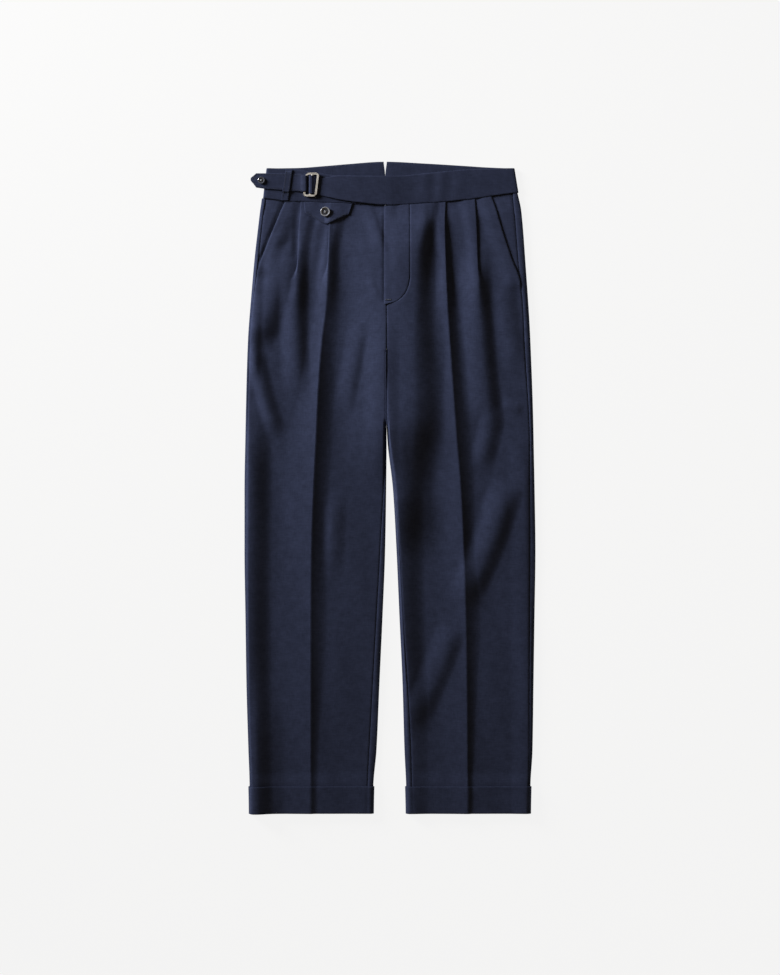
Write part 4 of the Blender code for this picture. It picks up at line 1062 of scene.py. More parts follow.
@dataclass
class Panels:
    """Fronts, backs, pocket facings and fly.

    The numbers of points are those of a row, from the side seam inward. Each size that ends in
    _run is the distance over which something fades in or out.
    """

    right: Leg
    left: Leg
    pleat: Pleat = field(default_factory=Pleat)
    row_step: float = 4.0
    least_step: float = 0.7
    fly_rows: tuple[float, ...] = (838.0, 839.0, 840.2, 841.6, 843.0, 846.0, 849.0)
    side_points: int = 20
    between_points: int = 18
    inside_points: int = 50
    under_points: int = 8
    inner_points: int = 13
    pleat_room: float = 0.6
    clear_of_pleat: float = 2.0
    clear_of_seam: float = 4.0
    seam_steps: tuple[float, ...] = (0.0, 0.5, 1.3, 2.6)
    facing_steps: tuple[float, ...] = (0.0, 0.3, 0.78)
    facing_points: int = 10
    facing_start: float = 1.0
    facing_next: float = 5.0
    facing_foot: float = 0.35
    facing_run: float = 60.0
    tuck_start: float = 4.0
    tuck_run: float = 7.5
    tuck_up_run: float = 20.0
    strip_shares: tuple[float, ...] = (0.0, 0.15, 0.35, 0.6, 0.85)
    inseam_shares: tuple[float, ...] = (0.3, 0.6, 0.85, 1.0)
    seam_dip: float = 0.45
    seam_width: float = 2.2
    pressed_seam: float = 0.15
    pressed_up: float = 590.0
    pressed_run: float = 60.0
    tight_up: float = 560.0
    tight_run: float = 70.0
    crotch_sink: float = 1.3
    crotch_run: float = 9.0
    inner_flat: float = 7.6
    fly_edge: float = -9.6
    fly_end: float = 838.0
    fly_lift: float = 1.25
    fly_under: float = 7.0
    fly_tuck: float = 1.1
    fly_own_start: float = 2.0
    fly_own_run: float = 14.0
    fly_dip: float = 0.6

    def rows(self) -> np.ndarray:
        """Levels of the panels' rows, closer where the cut changes quickly."""
        legs = np.arange(FIRST_ROW, CROTCH_UP - 5.0, self.row_step)
        hips = np.arange(CROTCH_UP + self.row_step, SEAM_LEVEL - 1.0, self.row_step)
        special = [CROTCH_UP - 3.0, CROTCH_UP, *self.fly_rows, SEAM_LEVEL]
        levels = np.unique(np.concatenate([legs, hips, special]))
        return levels[np.concatenate([[True], np.diff(levels) > self.least_step])]

    def open_share(self, row: float) -> float:
        """How open the inseam's groove is; it is pressed flat where the legs touch."""
        return float(blend(1.0, self.pressed_seam,
                           smooth((row - self.pressed_up) / self.pressed_run)))

    def inner_edge(self, leg: Leg, row: float) -> float:
        """Where a front ends toward the middle, as a distance from the middle."""
        if row < CROTCH_UP - 1.0:
            return float(leg.inseam_out(row)) + self.open_share(row) * SEAM / 2
        if row < self.fly_end + 0.5:
            return MIDDLE * leg.sign + HAIR
        if leg.side is Side.RIGHT:
            return -(self.fly_edge + self.fly_under)
        return float(FLY_LINE(row)) + SEAM / 2

    def front_row(self, leg: Leg, row: float) -> np.ndarray:
        """Middle line of a front, from the pocket mouth or side seam inward."""
        inner = self.inner_edge(leg, row)
        turns = self.pleat.line(row)
        rise = self.pleat.rise_at(row)
        first = float(leg.pleat_line(row))
        second = float(leg.sizes["crease"](row))
        room = self.pleat_room * (first - second)
        turns[:, 0] *= min(1.0, room / max(turns[:, 0].max(), TINY))
        edge = float(leg.front_edge(row))
        foot = first + turns[0, 0]
        foot_in = second + turns[0, 0]
        near = max(foot, first) + self.clear_of_pleat
        near_in = max(foot_in, second) + self.clear_of_pleat
        seam = np.array(self.seam_steps)
        pocket_side = np.concatenate([
            edge - seam, np.linspace(edge - self.clear_of_seam, near, self.side_points)])
        between = np.linspace(first, near_in, self.between_points)[1:]
        inside = np.linspace(second, inner + self.clear_of_seam, self.inside_points)[1:]
        inner_seam = inner + seam[::-1]
        out = np.concatenate([pocket_side, first + turns[:, 0], between, second + turns[:, 0],
                              inside, inner_seam])
        layer = np.concatenate([
            np.zeros(len(pocket_side)), turns[:, 1],
            self.pleat.settled(between, foot, first, rise), turns[:, 1],
            self.pleat.settled(inside, foot_in, second, rise), np.zeros(len(inner_seam))])
        x = out * leg.sign
        up = height_at(x, row, Seam.FRONT) - SEAM * (row > SEAM_LEVEL - TOUCH)
        z = leg.top(x, up) + layer + leg.pocket_lift(out, row)
        inner_dip = self.open_share(row) if row < CROTCH_UP else 1.0
        z = z - np.maximum(self.dip(edge - out), inner_dip * self.dip(out - inner))
        if leg.side is Side.RIGHT:
            z = z - self.tucked(x, row)
        return np.stack([x, up, z], axis=1)

    def tucked(self, x: np.ndarray, row: float) -> np.ndarray:
        """The right front sinks where it goes under the fly."""
        below = smooth((row - self.fly_end) / 10.0) * smooth((SEAM_LEVEL - 2.0 - row) / 24.0)
        return self.fly_tuck * below * smooth((x - self.fly_edge + 4.5) / 5.0)

    def dip(self, from_edge: np.ndarray) -> np.ndarray:
        """Cloth turns down into a seam."""
        return self.seam_dip * (1.0 - smooth(from_edge / self.seam_width))

    def back_row(self, leg: Leg, row: float) -> np.ndarray:
        """Middle line of a back: side seam, roll, underside and inner edge."""
        lift = float(leg.hem_lift(row))
        under = UNDER_Z + lift
        outer = float(leg.sizes["outer"](row))
        seam = float(leg.seam_out(row)) + SEAM / 2
        turn = outer - ROLL - CLOTH / 2
        strip = blend(seam, turn, np.array(self.strip_shares))
        z_strip = leg.top(strip * leg.sign, np.full_like(strip, row)) - self.dip(strip - seam)
        top = float(leg.top(turn * leg.sign, row))
        roll = arc((turn, (top + under) / 2), (ROLL, (top - under) / 2), 0.0, math.pi,
                   ROLL_POINTS)
        if row > CROTCH_UP + 1.0:
            middle = MIDDLE * leg.sign
            last = middle + self.inner_flat
            inner = np.linspace(last, middle, self.inner_points)
            tail = np.stack([inner, np.full_like(inner, under)], axis=1)
        else:
            last, tail = self.inner_tail(leg, row, under)
        flat = blend(turn, last, np.linspace(0.0, 1.0, self.under_points)[1:-1])
        under_line = np.stack([flat, np.full_like(flat, under)], axis=1)
        upper = np.concatenate([np.stack([strip, z_strip], axis=1), roll])
        lower = np.concatenate([under_line, tail])
        x_upper, x_lower = upper[:, 0] * leg.sign, lower[:, 0] * leg.sign
        up = np.concatenate([height_at(x_upper, row, Seam.FRONT),
                             height_at(x_lower, row, Seam.BACK)])
        return np.stack([np.concatenate([x_upper, x_lower]), up,
                         np.concatenate([upper[:, 1], lower[:, 1]])], axis=1)

    def inner_tail(self, leg: Leg, row: float, under: float) -> tuple[float, np.ndarray]:
        """Inner end of a back's row below the crotch: its roll and the strip up to the inseam.

        Args:
            leg: The leg.
            row: The row.
            under: Height of the underside there.

        Returns:
            Where the underside ends, and rows of distance and height from there on.
        """
        roll_half = float(blend(ROLL, TIGHT_ROLL, smooth((row - self.tight_up) / self.tight_run)))
        turn = float(leg.sizes["inner"](row)) + roll_half + CLOTH / 2
        pressed = self.open_share(row)
        seam = float(leg.inseam_out(row)) - pressed * SEAM / 2
        top = float(leg.top(turn * leg.sign, row))
        roll = arc((turn, (top + under) / 2), (-roll_half, (top - under) / 2), math.pi, 0.0,
                   ROLL_POINTS)
        strip = blend(turn, seam, np.array(self.inseam_shares))
        z = leg.top(strip * leg.sign, np.full_like(strip, row)) - pressed * self.dip(seam - strip)
        z = z - self.crotch_sink * smooth(1.0 - (CROTCH_UP - row) / self.crotch_run)
        return turn, np.concatenate([roll, np.stack([strip, z], axis=1)])

    def build_front(self, leg: Leg, cloth: bpy.types.Material) -> bpy.types.Object:
        """Make a front."""
        wall = ClothWall(np.stack([self.front_row(leg, row) for row in self.rows()]), CLOTH)
        name = "front_" + leg.side.word
        return cloth_piece(wall, name + "_panel", cloth, name, "back_" + leg.side.word)

    def build_back(self, leg: Leg, cloth: bpy.types.Material) -> bpy.types.Object:
        """Make a back."""
        wall = ClothWall(np.stack([self.back_row(leg, row) for row in self.rows()]), CLOTH)
        name = "back_" + leg.side.word
        return cloth_piece(wall, name + "_panel", cloth, name, "floor")

    def build_facing(self, leg: Leg, cloth: bpy.types.Material) -> bpy.types.Object:
        """Make the pocket's facing, from the side seam to a little way under the mouth."""
        end = leg.slant_end
        near_seam = np.array(self.facing_steps)
        rows = []
        for row in [end + self.facing_start,
                    *(r for r in self.rows() if r > end + self.facing_next)]:
            outer = float(leg.seam_out(row)) - SEAM / 2
            under = leg.pocket_under * min(1.0, self.facing_foot + (row - end) / self.facing_run)
            inner = min(float(leg.mouth(row)), outer - 1.0) - under
            out = np.concatenate([outer - near_seam,
                                  np.linspace(outer - 1.5, inner, self.facing_points)])
            x = out * leg.sign
            up = height_at(x, row, Seam.FRONT)
            tuck = (leg.pocket_tuck * smooth((row - end - self.tuck_start) / self.tuck_up_run)
                    * (1.0 - smooth((out - leg.mouth(row)) / self.tuck_run)))
            z = leg.top(x, up) - self.dip(outer - out) - tuck
            rows.append(np.stack([x, up, z], axis=1))
        name = "pocket_facing_" + leg.side.word
        return cloth_piece(ClothWall(np.stack(rows), CLOTH), name + "_cloth", cloth, name,
                           "back_" + leg.side.word)

    def build_fly(self, cloth: bpy.types.Material) -> bpy.types.Object:
        """Make the fly, from its opening edge on the other front to the curve that ends it."""
        shares = np.concatenate([[0.0, 0.02, 0.06], np.linspace(0.12, 0.9, 14),
                                 [0.95, 0.985, 1.0]])
        rows = []
        for row in [r for r in self.rows() if r >= self.fly_end]:
            right = float(FLY_LINE(row)) - SEAM / 2
            x = blend(self.fly_edge, right, shares)
            up = height_at(x, row, Seam.FRONT)
            own = smooth((x - self.fly_edge - self.fly_under - self.fly_own_start)
                         / self.fly_own_run)
            z = self.right.top(x, up) + self.fly_lift - self.tucked(x, row)
            z = blend(z, self.left.top(x, up), own)
            edge = np.minimum(x - self.fly_edge, right - x)
            rows.append(np.stack([x, up, z - self.fly_dip * self.dip(edge)], axis=1))
        return cloth_piece(ClothWall(np.stack(rows), CLOTH), "fly_placket", cloth, "fly",
                           "front_right")


class Ripple(NamedTuple):
    """Soft upright ripple in the waistband."""

    x: float
    width: float
    rise: float


@dataclass
class Waistband:
    """Both halves of the waistband, with the extension that crosses to the buckle."""

    back_z: float = BAND / 2
    front_z: float = 4.2
    rows: int = 12
    back_points: int = 42
    front_points: int = 50
    plain_points: int = 64
    extension_points: int = 90
    extension_end: float = -2.0
    climb_x: tuple[float, ...] = (-2.0, 10.0, 24.0, 40.0, 65.0)
    climb_z: tuple[float, ...] = (6.6, 5.8, 4.8, 4.3, 4.2)
    notch_top: tuple[float, float] = (-10.4, -5.4)
    notch_foot: tuple[float, float] = (-7.95, -7.85)
    notch_start: float = 0.7
    right_end: float = -15.0
    side_right: tuple[float, float] = (-209.5, -203.8)
    side_left: tuple[float, float] = (212.0, 205.4)
    ripples: tuple[Ripple, ...] = (Ripple(57.0, 9.0, 0.55), Ripple(72.0, 7.0, -0.35),
                                   Ripple(84.0, 8.0, 0.6), Ripple(99.0, 8.0, -0.3),
                                   Ripple(112.0, 9.0, 0.5), Ripple(-45.0, 16.0, 0.25),
                                   Ripple(150.0, 18.0, 0.3), Ripple(14.0, 14.0, 0.25))

    def front_columns(self, side: Side, turn: float) -> np.ndarray:
        """Columns of the front stretch, as rows of x, low edge, high edge, z and wall."""
        if side is Side.RIGHT:
            x = np.linspace(turn, self.right_end, self.front_points)[1:]
            return self.band_columns(x, SEAM_LINE(x), FRONT_TOP_LINE(x), self.front_z)
        x = np.linspace(turn, self.extension_end, self.plain_points)[1:-1]
        plain = self.band_columns(x, SEAM_LINE(x), FRONT_TOP_LINE(x),
                                  Curve(self.climb_x, self.climb_z)(x))
        return np.concatenate([plain, refine(EXTENSION, self.extension_points)])

    def band_columns(self, x: np.ndarray, low: np.ndarray, high: np.ndarray,
                     z: float | np.ndarray) -> np.ndarray:
        """Columns of the plain band, as rows of x, low edge, high edge, z and wall."""
        return np.stack([x, low, high, np.broadcast_to(z, x.shape), np.full_like(x, BAND)],
                        axis=1)

    def half(self, side: Side) -> ClothWall:
        """Wall of one half, from the notch at the back round the side to the front."""
        mid, reach = (self.back_z + self.front_z) / 2, (self.front_z - self.back_z) / 2
        edges = self.side_right if side is Side.RIGHT else self.side_left
        which = side is Side.LEFT
        grid = []
        for v in rounded_rows(self.rows):
            open_share = float(smooth((v - self.notch_start) / (1.0 - self.notch_start)))
            notch = blend(self.notch_foot[which], self.notch_top[which], open_share)
            turn = float(blend(edges[0], edges[1], v)) - side.value * (ROLL + BAND / 2)
            x = np.linspace(notch, turn, self.back_points)[:-1]
            back = self.band_columns(x, seam_up(x, Seam.BACK), BACK_TOP_LINE(x), self.back_z)
            bend, z = arc((turn, mid), (side.value * ROLL, reach), math.pi, 0.0, ROLL_POINTS).T
            roll = self.band_columns(bend, SEAM_LINE(bend), FRONT_TOP_LINE(bend), z)
            columns = np.concatenate([back, roll, self.front_columns(side, turn)])
            x, low, high, z, wall = columns.T
            swell = self.ripple(x) * math.sin(math.pi * v) ** 0.5
            z = z + np.where(z > self.front_z - TOUCH, swell, 0.0)
            grid.append(np.stack([x, blend(low, high, v), z], axis=1))
        return ClothWall(np.stack(grid), wall)

    def ripple(self, x: np.ndarray) -> np.ndarray:
        """Height of the band's ripples."""
        return sum(r.rise * np.exp(-((x - r.x) / r.width) ** 2) for r in self.ripples)

    def build(self, side: Side, cloth: bpy.types.Material) -> bpy.types.Object:
        """Make one half."""
        name = "waistband_" + side.word
        return cloth_piece(self.half(side), name + "_cloth", cloth, name, "front_" + side.word)


def rounded_rows(count: int) -> np.ndarray:
    """Shares from 0 to 1 that lie closer together at both ends."""
    inner = np.linspace(0.05, 0.95, count - 4)
    return np.concatenate([[0.0, 0.015], inner, [0.985, 1.0]])


def refine(columns: Sequence[TrimColumn], count: int) -> np.ndarray:
    """Even line through the columns of a strap or band.

    Args:
        columns: The named columns, in order.
        count: Number of columns wanted.

    Returns:
        Rows of x, low edge, high edge, z and wall.
    """
    z_weight, least_step = 1.5, 0.12
    table = np.array(columns, dtype=float)
    at = along(np.hypot(np.diff(table[:, 0]), np.diff(table[:, 3]) * z_weight))
    where = np.unique(np.concatenate([np.linspace(0.0, at[-1], count - len(at) + 2), at]))
    where = where[np.concatenate([[True], np.diff(where) > least_step])]
    lines = [Curve(at, table[:, k])(where) for k in (0, 3)]
    edges = [np.interp(where, at, table[:, k]) for k in (1, 2, 4)]
    return np.stack([lines[0], edges[0], edges[1], lines[1], edges[2]], axis=1)


@dataclass
class StrapAndLoop:
    """Pointed waist strap and the loop that holds it."""

    rows: int = 12
    columns: int = 80
    loop_rows: int = 60
    loop_columns: int = 10
    loop_width: float = 11.0
    loop_wall: float = 1.4
    loop_path: tuple[tuple[float, float, float], ...] = (
        (1061.5, -166.4, 6.4), (1058.6, -166.8, 6.6), (1056.6, -167.1, 8.2),
        (1052.0, -167.8, 8.4), (1032.0, -170.6, 8.4), (1025.2, -171.6, 8.2),
        (1022.6, -171.9, 6.6), (1010.8, -173.7, 6.4))

    def build_strap(self, cloth: bpy.types.Material) -> bpy.types.Object:
        """Make the strap."""
        columns = refine(STRAP, self.columns)
        rows = [np.stack([columns[:, 0], blend(columns[:, 1], columns[:, 2], v), columns[:, 3]],
                         axis=1) for v in rounded_rows(self.rows)]
        wall = ClothWall(np.stack(rows), columns[:, 4])
        return cloth_piece(wall, "strap_cloth", cloth, "strap", "waistband_right")

    def build_loop(self, cloth: bpy.types.Material) -> bpy.types.Object:
        """Make the loop, as a wall that is worked out with x and up exchanged."""
        path = np.array(self.loop_path)
        at = along(np.hypot(np.diff(path[:, 0]), np.diff(path[:, 2])))
        where = np.linspace(0.0, at[-1], self.loop_rows)
        up, x, z = (Curve(at, path[:, k])(where) for k in range(3))
        share = rounded_rows(self.loop_columns) - 0.5
        x = x[None, :] + share[:, None] * self.loop_width
        grid = np.stack([np.broadcast_to(up, x.shape), x, np.broadcast_to(z, x.shape)], axis=2)
        wall = ClothWall(grid, self.loop_wall)
        for face in (wall.upper, wall.lower):
            face[..., (0, 1)] = face[..., (1, 0)]
        wall.rows[..., (0, 1)] = wall.rows[..., (1, 0)]
        return declare(wall.build("strap_loop_cloth", cloth), "strap_loop")


@dataclass
class Buckle:
    """Rectangular slide buckle with round corners and a bar across its middle."""

    left: float = -141.0
    right: float = -118.8
    low: float = 1016.8
    high: float = 1056.0
    bar: float = 3.1
    wall: float = 2.6
    corner: float = 5.4
    inner_corner: float = 1.6
    centre: tuple[float, float] = (-131.4, -128.0)
    bar_wall: float = 1.8
    z: float = 8.0
    tilt: float = math.radians(4.5)
    lean: float = 0.12
    edge: float = 1.2
    edge_angle: float = math.radians(50.0)
    smooth_angle: float = math.radians(35.0)

    def build(self, metal: bpy.types.Material) -> bpy.types.Object:
        """Model the frame from a plane: inset it, round its corners, thicken and bevel it."""
        deselect()
        size = Vector((self.right - self.left, self.high - self.low, 1.0)) * MM
        middle = spot((self.left + self.right) / 2, (self.low + self.high) / 2, self.z)
        bpy.ops.mesh.primitive_plane_add(size=1.0, location=middle)
        piece = bpy.context.object
        edit_whole()
        bpy.ops.transform.resize(value=size, center_override=middle)
        bpy.ops.mesh.inset(thickness=self.bar * MM, depth=0.0)
        bpy.ops.mesh.delete(type="FACE")
        self.round_corners(piece, size)
        bpy.ops.mesh.select_all(action="SELECT")
        bpy.ops.mesh.extrude_region_move(
            TRANSFORM_OT_translate={"value": (0.0, 0.0, self.wall * MM)})
        bpy.ops.mesh.select_all(action="SELECT")
        bpy.ops.transform.translate(value=(0.0, 0.0, -self.wall / 2 * MM))
        bpy.ops.mesh.normals_make_consistent(inside=False)
        bpy.ops.object.mode_set(mode="OBJECT")
        self.round_edges(piece, self.edge, 4).angle_limit = self.edge_angle
        bpy.ops.object.modifier_apply(modifier="edge")
        bar = self.bar_piece()
        pick(piece, bar)
        bpy.ops.object.join()
        self.settle(piece)
        piece.name = "buckle_frame"
        piece.data.materials.clear()
        piece.data.materials.append(metal)
        return declare(piece, "buckle")

    def round_corners(self, piece: bpy.types.Object, size: Vector) -> None:
        """Round the four outer and the four inner corners of the flat frame.

        The second pass also takes in points of the outer arcs, so these end up very dense.

        Args:
            piece: The frame, in edit mode.
            size: Width and height of the frame, in metres.
        """
        at_outline, near_outline = 0.5 * MM, 4.5 * MM
        for radius, outer in ((self.corner, True), (self.inner_corner, False)):
            bpy.ops.mesh.select_all(action="DESELECT")
            bpy.ops.object.mode_set(mode="OBJECT")
            for vert in piece.data.vertices:
                inward = size.x / 2 - abs(vert.co.x)
                vert.select = (inward < at_outline) == outer and inward < near_outline
            bpy.ops.object.mode_set(mode="EDIT")
            bpy.ops.mesh.bevel(affect="VERTICES", offset=radius * MM, segments=6)

    def round_edges(self, piece: bpy.types.Object, width: float,
                    segments: int) -> bpy.types.Modifier:
        """Bevel that takes the hardness off a piece's edges; it is still to be applied."""
        rounding = piece.modifiers.new("edge", "BEVEL")
        rounding.width = width * MM
        rounding.segments = segments
        return rounding

    def bar_piece(self) -> bpy.types.Object:
        """Model the round-edged bar that crosses the frame, with its ends inside the frame."""
        deselect()
        inset = self.bar * 0.6
        low, high = self.low + inset, self.high - inset
        middle = spot(sum(self.centre) / 2, (low + high) / 2, self.z)
        size = Vector((self.centre[1] - self.centre[0], high - low, self.bar_wall)) * MM
        bpy.ops.mesh.primitive_cube_add(size=1.0, location=middle)
        bar = bpy.context.object
        edit_whole()
        bpy.ops.transform.resize(value=size, center_override=middle)
        bpy.ops.object.mode_set(mode="OBJECT")
        self.round_edges(bar, self.bar_wall * 0.4, 3)
        bpy.ops.object.modifier_apply(modifier="edge")
        return bar

    def settle(self, piece: bpy.types.Object) -> None:
        """Lean and tilt the buckle about its centre bar and put its place in its mesh."""
        pick(piece)
        pivot = spot(sum(self.centre) / 2, (self.low + self.high) / 2, self.z)
        bpy.ops.object.transform_apply(location=True, rotation=True, scale=True)
        leaning = Matrix.Identity(4)
        leaning[0][1] = self.lean
        turn = (Matrix.Translation(pivot) @ Matrix.Rotation(-self.tilt, 4, "Y")
                @ leaning @ Matrix.Translation(-pivot))
        piece.data.transform(turn)
        bpy.ops.object.shade_smooth_by_angle(angle=self.smooth_angle)


@dataclass
class FobFlap:
    """Pointed flap of the fob pocket, laid on the front."""

    outline: tuple[tuple[float, float, float], ...] = (
        (-141.9, -139.9, 18.0), (-131.0, -129.5, 24.0), (-119.0, -116.5, 31.0),
        (-110.0, -108.0, 34.5), (-101.5, -102.0, 34.0), (-92.0, -92.5, 29.5),
        (-82.0, -82.5, 24.5), (-72.0, -72.5, 19.5), (-61.9, -68.5, 17.5))
    rows: int = 14
    columns: int = 65
    edge_shares: tuple[float, float] = (0.004, 0.996)
    clear: float = 0.45
    feel_across: tuple[float, ...] = (-3.0, 0.0, 3.0)
    feel_along: tuple[float, ...] = (-2.0, 0.0, 2.0)
    below_seam: float = 1.5
    even_over: int = 4

    def edge_point(self, s: np.ndarray, v: np.ndarray) -> tuple[np.ndarray, np.ndarray]:
        """Place on the flap.

        Args:
            s: Share of the way across, from the viewer's left.
            v: Share of the way down from the waist seam.

        Returns:
            x and up there.
        """
        table = np.array(self.outline)
        at = np.linspace(0.0, 1.0, len(table))
        x_top, x_foot, drop = (np.interp(s, at, table[:, k]) for k in range(3))
        return blend(x_top, x_foot, v), SEAM_LINE(x_top) - GAP - drop * v

    def build(self, feeler: Feeler, cloth: bpy.types.Material) -> bpy.types.Object:
        """Make the flap on the surface that the feeler knows."""
        s = np.unique(np.concatenate([np.linspace(0.0, 1.0, self.columns), self.edge_shares]))
        count = 2 * self.even_over + 1
        grid = []
        for v in rounded_rows(self.rows)[::-1]:
            x, up = self.edge_point(s, np.full_like(s, v))
            highest = SEAM_LINE(x) - self.below_seam
            z = np.array([max(feeler.height(a + dx, min(b + dup, top))
                              for dx in self.feel_across for dup in self.feel_along)
                          for a, b, top in zip(x, up, highest)])
            z = np.convolve(np.pad(z, self.even_over, mode="edge"), np.ones(count) / count,
                            mode="valid")
            grid.append(np.stack([x, up, z + self.clear + TRIM / 2], axis=1))
        wall = ClothWall(np.stack(grid), TRIM)
        return cloth_piece(wall, "fob_flap_cloth", cloth, "fob_flap", "front_right")


@dataclass
class Button:
    """Four-hole horn button with a raised rim, sewn on through its holes.

    Rim, foot, hole and hole_spread are shares of the diameter or radius, dish of the height.
    """

    node: str
    x: float
    up: float
    diameter: float
    height: float
    sides: int = 48
    rim: float = 0.10
    dish: float = 0.35
    foot: float = 0.75
    hole: float = 0.11
    hole_spread: float = 0.13
    strand: float = 0.30
    strand_apart: float = 0.32
    strand_bulge: float = 0.42
    strand_end: float = 1.2
    smooth_angle: float = math.radians(30.0)
    # Colour of the painted reflection on the button's rim
    pale: Colour = (0.22, 0.23, 0.26)

    def build(self, feeler: Feeler, thread: bpy.types.Material) -> bpy.types.Object:
        """Spin the button's profile, drill it and sew it on.

        Args:
            feeler: Knows the cloth under the button.
            thread: Finish of the thread.

        Returns:
            The button.
        """
        radius = self.diameter / 2
        base = GAP + max(feeler.height(self.x + radius * self.foot * math.cos(a),
                                       self.up + radius * self.foot * math.sin(a))
                         for a in np.linspace(0.0, math.tau, 9)[:-1])
        piece = self.spin_profile(base)
        for sx, sy in ((1, 1), (-1, 1), (-1, -1), (1, -1)):
            self.drill(piece, sx, sy, base)
        piece.name = self.node + "_disc"
        centre = spot(self.x, self.up, 0.0)
        piece.data.materials.append(Horn(self.node + "_horn", (centre.x, centre.y),
                                         radius * MM, pale=self.pale).make())
        pick(piece)
        bpy.ops.object.shade_smooth_by_angle(angle=self.smooth_angle)
        declare(piece, self.node)
        self.sew(base, thread)
        return piece

    def profile(self) -> list[tuple[float, float]]:
        """Half section of the button, from its axis under it to its axis on top."""
        radius, rim, high = self.diameter / 2, self.diameter * self.rim, self.height
        dish = high * (1.0 - self.dish)
        return [(0.0, 0.0), (radius * self.foot, 0.0), (radius * 0.93, high * 0.15),
                (radius, high * 0.4), (radius, high * 0.72), (radius - rim * 0.15, high * 0.9),
                (radius - rim * 0.5, high), (radius - rim * 0.85, high * 0.97),
                (radius - rim * 1.15, high * 0.82), (radius - rim * 1.4, dish * 1.05),
                (radius - rim * 1.8, dish), (0.0, dish)]

    def spin_profile(self, base: float) -> bpy.types.Object:
        """Make the solid of the profile.

        Args:
            base: Height of the button's underside.

        Returns:
            The plain button.
        """
        deselect()
        centre = spot(self.x, self.up, base)
        bpy.ops.mesh.primitive_plane_add(size=1.0, location=(0.0, 0.0, 0.0))
        piece = bpy.context.object
        mesh = piece.data
        mesh.clear_geometry()
        points = [(r * MM, 0.0, z * MM) for r, z in self.profile()]
        mesh.from_pydata(points, [(k, k + 1) for k in range(len(points) - 1)], [])
        edit_whole()
        bpy.ops.mesh.spin(steps=self.sides, angle=math.tau, center=(0.0, 0.0, 0.0),
                          axis=(0.0, 0.0, 1.0))
        bpy.ops.mesh.select_all(action="SELECT")
        bpy.ops.mesh.remove_doubles(threshold=2e-6)
        bpy.ops.mesh.normals_make_consistent(inside=False)
        bpy.ops.transform.translate(value=centre)
        bpy.ops.object.mode_set(mode="OBJECT")
        return piece

    def drill(self, piece: bpy.types.Object, sx: int, sy: int, base: float) -> None:
        """Cut one thread hole through the button.

        Args:
            piece: The button.
            sx: Side of the hole across the garment.
            sy: Side of the hole along the garment.
            base: Height of the button's underside.
        """
        deselect()
        reach = self.diameter * self.hole_spread
        bpy.ops.mesh.primitive_cylinder_add(
            vertices=16, radius=self.diameter * self.hole / 2 * MM, depth=self.height * 4 * MM,
            location=spot(self.x + sx * reach, self.up + sy * reach, base))
        cutter = bpy.context.object
        bpy.context.view_layer.objects.active = piece
        drilled = piece.modifiers.new("hole", "BOOLEAN")
        drilled.operation = "DIFFERENCE"
        drilled.object = cutter
        bpy.ops.object.modifier_apply(modifier=drilled.name)
        bpy.data.objects.remove(cutter, do_unlink=True)

    def sew(self, base: float, thread: bpy.types.Material) -> bpy.types.Object:
        """Cross two bundles of thread over the button's face.

        Args:
            base: Height of the button's underside.
            thread: Finish of the thread.

        Returns:
            The sewing.
        """
        reach = self.diameter * self.hole_spread
        dish = self.height * (1.0 - self.dish)
        t = np.linspace(-1.0, 1.0, 9)
        in_hole = np.abs(t) > 0.97
        z = base + dish + self.strand_bulge * (1.0 - t ** 4) - self.strand_end * in_hole
        strands = []
        for sx, sy in ((1, 1), (-1, 1)):
            for shift in (-self.strand_apart, self.strand_apart):
                side = np.array([-sy, sx]) / math.sqrt(2) * shift
                x = self.x + sx * reach * t + side[0]
                up = self.up + sy * reach * t + side[1]
                strands.append(tube(np.stack([x, up, z], axis=1), self.strand, 6))
        return declare(join_tubes(self.node + "_sewing", strands, thread), "")


Tube = tuple[np.ndarray, list[tuple[int, ...]]]


def tube(path: np.ndarray, radius: float, sides: int) -> Tube:
    """Closed tube along a path.

    Args:
        path: Rows of x, up and z in millimetres.
        radius: Its radius, which tapers at both ends.
        sides: Number of its sides.

    Returns:
        Its points and faces.
    """
    run = np.gradient(path, axis=0)
    run /= np.linalg.norm(run, axis=1, keepdims=True)
    side = np.cross(run, np.array([0.0, 0.0, 1.0]))
    side /= np.maximum(np.linalg.norm(side, axis=1, keepdims=True), TINY)
    lift = np.cross(side, run)
    a = np.linspace(0.0, math.tau, sides, endpoint=False)[None, :, None]
    size = np.full(len(path), radius)
    size[0] = size[-1] = radius * 0.45
    points = path[:, None, :] + size[:, None, None] * (np.cos(a) * side[:, None, :]
                                                       + np.sin(a) * lift[:, None, :])
    faces = []
    for r in range(len(path) - 1):
        for k in range(sides):
            n = (k + 1) % sides
            faces.append((r * sides + k, r * sides + n, (r + 1) * sides + n, (r + 1) * sides + k))
    faces.append(tuple(range(sides))[::-1])
    faces.append(tuple((len(path) - 1) * sides + k for k in range(sides)))
    return points.reshape(-1, 3), faces


def join_tubes(name: str, tubes: Sequence[Tube],
               material: bpy.types.Material) -> bpy.types.Object:
    """Make one piece of many tubes.

    Args:
        name: Name of the piece.
        tubes: Points and faces of each tube.
        material: Its finish.

    Returns:
        The piece.
    """
    points, faces, start = [], [], 0
    for places, sides in tubes:
        points.append(places)
        faces += [tuple(k + start for k in face) for face in sides]
        start += len(places)
    mesh = bpy.data.meshes.new(name)
    mesh.from_pydata(to_metres(np.concatenate(points)).tolist(), [], faces)
    mesh.shade_smooth()
    mesh.materials.append(material)
    piece = link_piece(name, mesh)
    pick(piece)
    edit_whole()
    bpy.ops.mesh.normals_make_consistent(inside=False)
    bpy.ops.object.mode_set(mode="OBJECT")
    return piece


